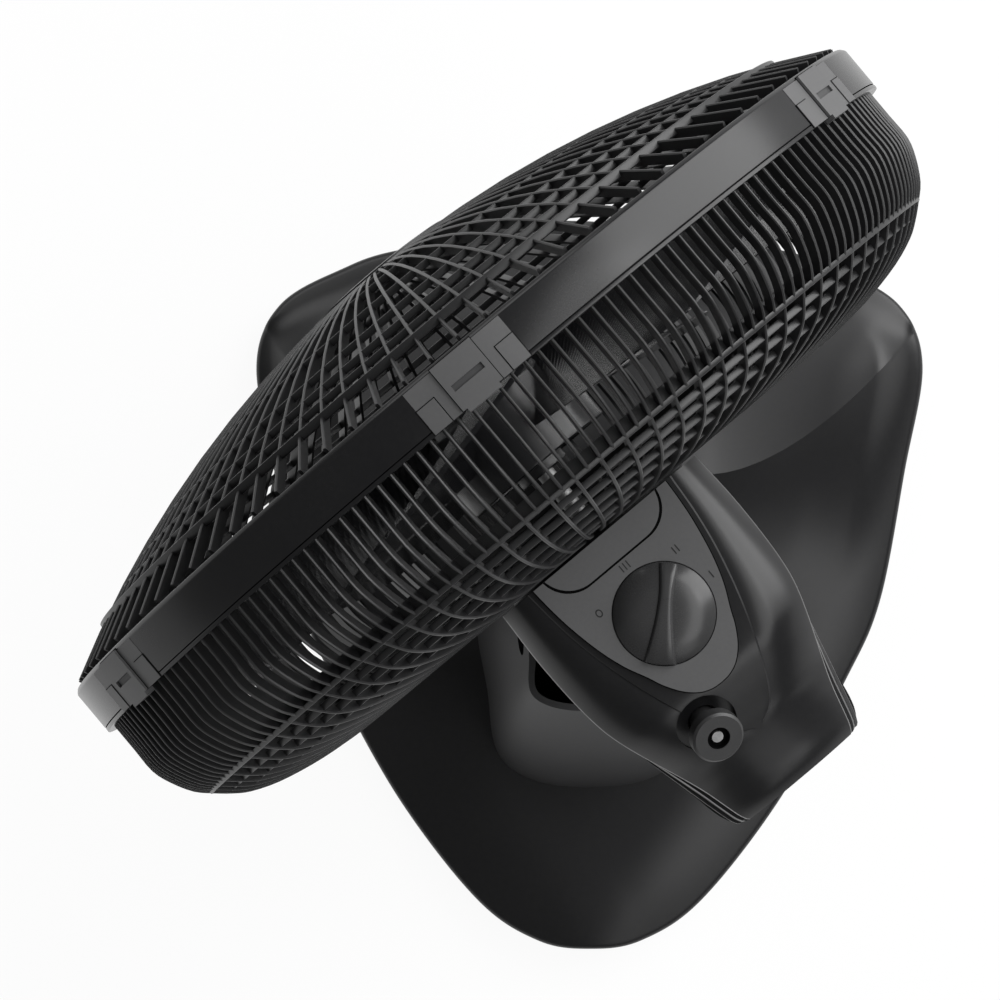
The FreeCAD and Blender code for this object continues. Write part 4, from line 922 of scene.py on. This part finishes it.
# base: one moulding with a falling border, two ridges and a ramp to the front
base = {"wide": 163.6, "long": 177.6, "deck": 32.4, "low": 3.0, "curve": 2600.0, "middle": 20.0, "border": 45.0,
        "fall": 9.0, "round": 2.4, "wall": 2.4, "inlet": 26.0, "inletShare": 0.5,
        "crest": 77.0, "crestEnd": 35.0, "crestAt": -54.0, "crestFlat": 58.0, "crestRun": 97.0, "crestSweep": 66.0,
        "sweepPower": 1.7, "crestReach": 156.0, "crestPower": 1.6, "fade": 24.0, "toe": 26.0, "toeIn": 10.0,
        "toeCurve": 0.0015, "rampPower": 1.15, "behind": 90.0, "behindPower": 1.8,
        "columns": 200, "frontRows": 30, "rearRows": 60, "sideGap": 0.05, "margin": 0.2, "lineSteps": 20,
        "merge": 0.02, "angle": 30,
        "outline": [(0.0, -1.0), (0.54, -0.934), (0.75, -0.873), (0.93, -0.775), (1.0, -0.61), (0.946, -0.32),
                    (0.871, 0.039), (0.767, 0.26), (0.568, 0.591), (0.334, 0.868), (0.155, 0.978), (0.0, 1.0)]}


def baseOutline():
    half = [Vector((x * base["wide"], y * base["long"])) for x, y in base["outline"]]
    loop = half + [Vector((-p.x, p.y)) for p in reversed(half[1:-1])]
    count = len(loop)
    steps = base["lineSteps"]
    line = smoothLine([loop[i % count] for i in range(-2, count + 3)], steps)
    return line[2 * steps:(count + 2) * steps]


def crossings(line, x):
    # lowest and highest point of the outline on one line along Y
    found = []
    for a, b in zip(line, line[1:] + line[:1]):
        if (a.x - x) * (b.x - x) <= 0 and a.x != b.x:
            found.append(a.y + (b.y - a.y) * (x - a.x) / (b.x - a.x))
    return min(found), max(found)


def edgeDistance(places, line):
    ends = np.array([tuple(p) for p in line])
    nexts = np.roll(ends, -1, axis=0)
    along = nexts - ends
    lengths = (along ** 2).sum(axis=1)
    result = []
    for place in places:
        share = np.clip(((np.array(place) - ends) * along).sum(axis=1) / lengths, 0, 1)
        result.append(float(np.sqrt(((ends + along * share[:, None] - place) ** 2).sum(axis=1).min())))
    return result


def crestPlace(x):
    past = max(0.0, (abs(x) - base["crestFlat"]) / base["crestRun"])
    return base["crestAt"] - base["crestSweep"] * past ** base["sweepPower"]


def baseHeight(x, y, edge):
    crest = crestPlace(x)
    toe = -base["long"] + base["toeIn"] + base["toeCurve"] * x * x
    reach = min(1.0, abs(x) / base["crestReach"])
    deck = base["deck"] - (x * x + (y - base["middle"]) ** 2) / (2 * base["curve"])
    top = base["crestEnd"] + (base["crest"] - base["crestEnd"]) * (1 - reach ** base["crestPower"])
    top = deck + (top - deck) * easedShare(edge / base["fade"])
    if y <= crest:
        share = min(1.0, max(0.0, (y - toe) / max(1.0, crest - toe)))
        height = base["toe"] + (top - base["toe"]) * share ** base["rampPower"]
    else:
        share = max(0.0, 1 - (y - crest) / base["behind"])
        height = deck + (top - deck) * share ** base["behindPower"]
    fall = base["fall"]
    if y > 0:
        # the border falls less behind, where the cord's inlet needs the height
        fall *= 1 - base["inletShare"] * math.exp(-(x / base["inlet"]) ** 2)
    height -= fall * max(0.0, 1 - edge / base["border"]) ** 2
    bend = max(0.0, 1 - edge / base["round"])
    return height - base["round"] * (1 - math.sqrt(max(0.0, 1 - bend * bend)))


def basePlaces(line):
    # rows of places from the front edge over the crest to the rear edge, closer together at the edges
    widest = max(p.x for p in line) - base["sideGap"]
    places = []
    for i in range(base["columns"] + 1):
        x = -widest * math.cos(math.pi * i / base["columns"])
        front, rear = crossings(line, x)
        margin = (rear - front) * base["margin"]
        crest = min(max(crestPlace(x), front + margin), rear - margin)
        for k in range(base["frontRows"]):
            share = 1 - math.cos(math.pi / 2 * k / base["frontRows"])
            places.append((x, front + (crest - front) * share))
        for k in range(base["rearRows"] + 1):
            share = math.sin(math.pi / 2 * k / base["rearRows"])
            places.append((x, crest + (rear - crest) * share))
    return places


def buildBase():
    line = baseOutline()
    places = basePlaces(line)
    points = [(x, y, baseHeight(x, y, edge)) for (x, y), edge in zip(places, edgeDistance(places, line))]
    grid = (base["columns"] + 1, base["frontRows"] + base["rearRows"] + 1)
    faces = gridFaces(*grid)
    rim = gridRim(*grid)
    first = len(points)
    count = len(rim)
    points += [(points[i][0], points[i][1], base["low"]) for i in rim]
    for k in range(count):
        n = (k + 1) % count
        faces.append((rim[n], rim[k], first + k, first + n))
    holder = tempObject(cleaned(rawMesh("baseShell", points, faces), base["merge"]))
    wall = holder.modifiers.new("wall", "SOLIDIFY")
    wall.thickness = base["wall"]
    wall.offset = -1.0
    addPiece("baseShell", baked(holder), groundMatrix, "base", "base", ["base_shell"],
             base["angle"])


buildBase()
print("base built")


# CAD nodes that keep their shape: smooth copies of the visible ones, better finishes on the rest
smoothNodes = {
    # the column takes the lightened black, which paints in the light it catches
    "neck_column": ("neckColumn", "column", "base", "black_plastic"),
    "neck_bracket": ("neckBracket", "shell", "neck", "black_plastic"),
    "motor_cover_bottom": ("coverBottom", "shell", "head", "black_plastic"),
    "centre_cap": ("centreCap", "guard", "head", "black_plastic"),
    "clutch_knob": ("clutchKnob", "knob", "clutch_knob", "gloss_plastic"),
    "blade_nut": ("bladeNut", "shell", "rotor", "blade_plastic"),
    "tilt_bolt": ("tiltBolt", "blackSteel", "base", "steel"),
    "tilt_nut": ("tiltNut", "blackSteel", "base", "steel"),
}
dressedNodes = {
    "shell": ("base_plate", "grille_lock_ring"),
    "white": ("worm_wheel", "speed_switch", "gear_housing", "pivot_bush", "capacitor"),
    "rubber": ("rubber_feet", "cord_inlet"),
    "steel": ("pivot_pin", "pivot_carrier", "drive_pin", "crank", "crank_link", "oscillation_arm", "worm",
              "base_plate_screws", "column_screws", "cover_screws", "carrier_screws"),
    "blackSteel": ("motor_screws",),
    "core": ("rotor_shaft", "clutch_rod", "stator_core", "rotor_core"),
    "cast": ("motor_front_bracket", "motor_rear_bracket"),
    "copper": ("stator_winding",),
    "brass": ("front_bearing", "rear_bearing"),
}
for node, (name, finish, body, slot) in smoothNodes.items():
    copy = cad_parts[node].data.copy()
    copy.transform(toMm)
    addPiece(name, copy, Matrix.Identity(4), finish, body, [node], meshing["copyAngle"])
for finish, nodes in dressedNodes.items():
    for node in nodes:
        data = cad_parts[node].data
        data.materials.clear()
        data.materials.append(finishes[finish])
print("nodes dressed")


# floor, sky and four soft lamps, the strongest low at one side
# a lamp's row is its place and aim in metres from the base's middle, its width and length, and its power
studio = {"floor": 30.0, "mottle": 3.0, "dark": (0.78, 0.78, 0.78), "pale": (0.82, 0.82, 0.82), "shadow": 0.07,
          "sky": 0.26, "white": (1, 1, 1, 1)}
lamps = {
    "keySoft": ((-1.7, 0.2, 2.7), (-1.7, 0.2, 0.0), (1.8, 3.0), 57.0),
    "sideSoft": ((-2.2, -1.9, 1.6), (0.0, 0.0, 0.35), (2.6, 3.2), 165.0),
    "rearSoft": ((-1.5, 2.3, 2.4), (0.0, 0.0, 0.3), (1.7, 1.7), 11.0),
    "frontSoft": ((1.4, -2.4, 1.6), (0.0, 0.0, 0.3), (2.6, 1.5), 36.0),
}


def buildFloor():
    half = studio["floor"]
    corners = [(-half, -half, 0), (half, -half, 0), (half, half, 0), (-half, half, 0)]
    mesh = rawMesh("floor", corners, [(0, 1, 2, 3)])
    material, w = newMaterial("paleFloor")
    place = w.make("ShaderNodeTexCoord", out=outputs["object"])
    mottle = w.make("ShaderNodeTexNoise", None, {"Vector": place, "Scale": studio["mottle"]})
    tone = w.tones([(0.0, studio["dark"]), (1.0, studio["pale"])], mottle)
    matt = w.make("ShaderNodeBsdfDiffuse", None, {"Color": tone})
    glow = w.make("ShaderNodeEmission", None, {"Color": studio["white"], "Strength": 1.0})
    seen, mirrored, through = (w.make("ShaderNodeLightPath", out=outputs[ray])
                               for ray in ("cameraRay", "glossyRay", "transmissionRay"))
    share = w.maths("MINIMUM", seen + mirrored + through, 1.0) * (1 - studio["shadow"])
    both = w.make("ShaderNodeMixShader", None, {0: share, 1: matt, 2: glow})
    w.make("ShaderNodeOutputMaterial", None, {"Surface": both})
    mesh.materials.append(material)
    floor = placed("floor", mesh)


def addLamp(name, place, aim, wide, power):
    lamp = bpy.data.lights.new(name, "AREA")
    lamp.shape = "RECTANGLE"
    lamp.size, lamp.size_y = wide
    lamp.energy = power
    lampObject = placed(name, lamp)
    lampObject.location = groundMatrix @ Vector(place)
    toward = groundMatrix @ Vector(aim) - groundMatrix @ Vector(place)
    lampObject.rotation_euler = toward.to_track_quat("-Z", "Y").to_euler()


def buildLight():
    world = bpy.data.worlds.new("studioSky")
    scene.world = world
    world.use_nodes = True
    world.node_tree.nodes.clear()
    w = Wire(world.node_tree)
    dim = w.make("ShaderNodeBackground", None, {"Color": studio["white"], "Strength": studio["sky"]})
    white = w.make("ShaderNodeBackground", None, {"Color": studio["white"], "Strength": 1.0})
    seen = w.make("ShaderNodeLightPath", out=outputs["cameraRay"])
    both = w.make("ShaderNodeMixShader", None, {0: seen, 1: dim, 2: white})
    w.make("ShaderNodeOutputWorld", None, {"Surface": both})
    for name, row in lamps.items():
        addLamp(name, *row)


buildFloor()
buildLight()
scene.view_settings.view_transform = "Standard"
print("studio built")
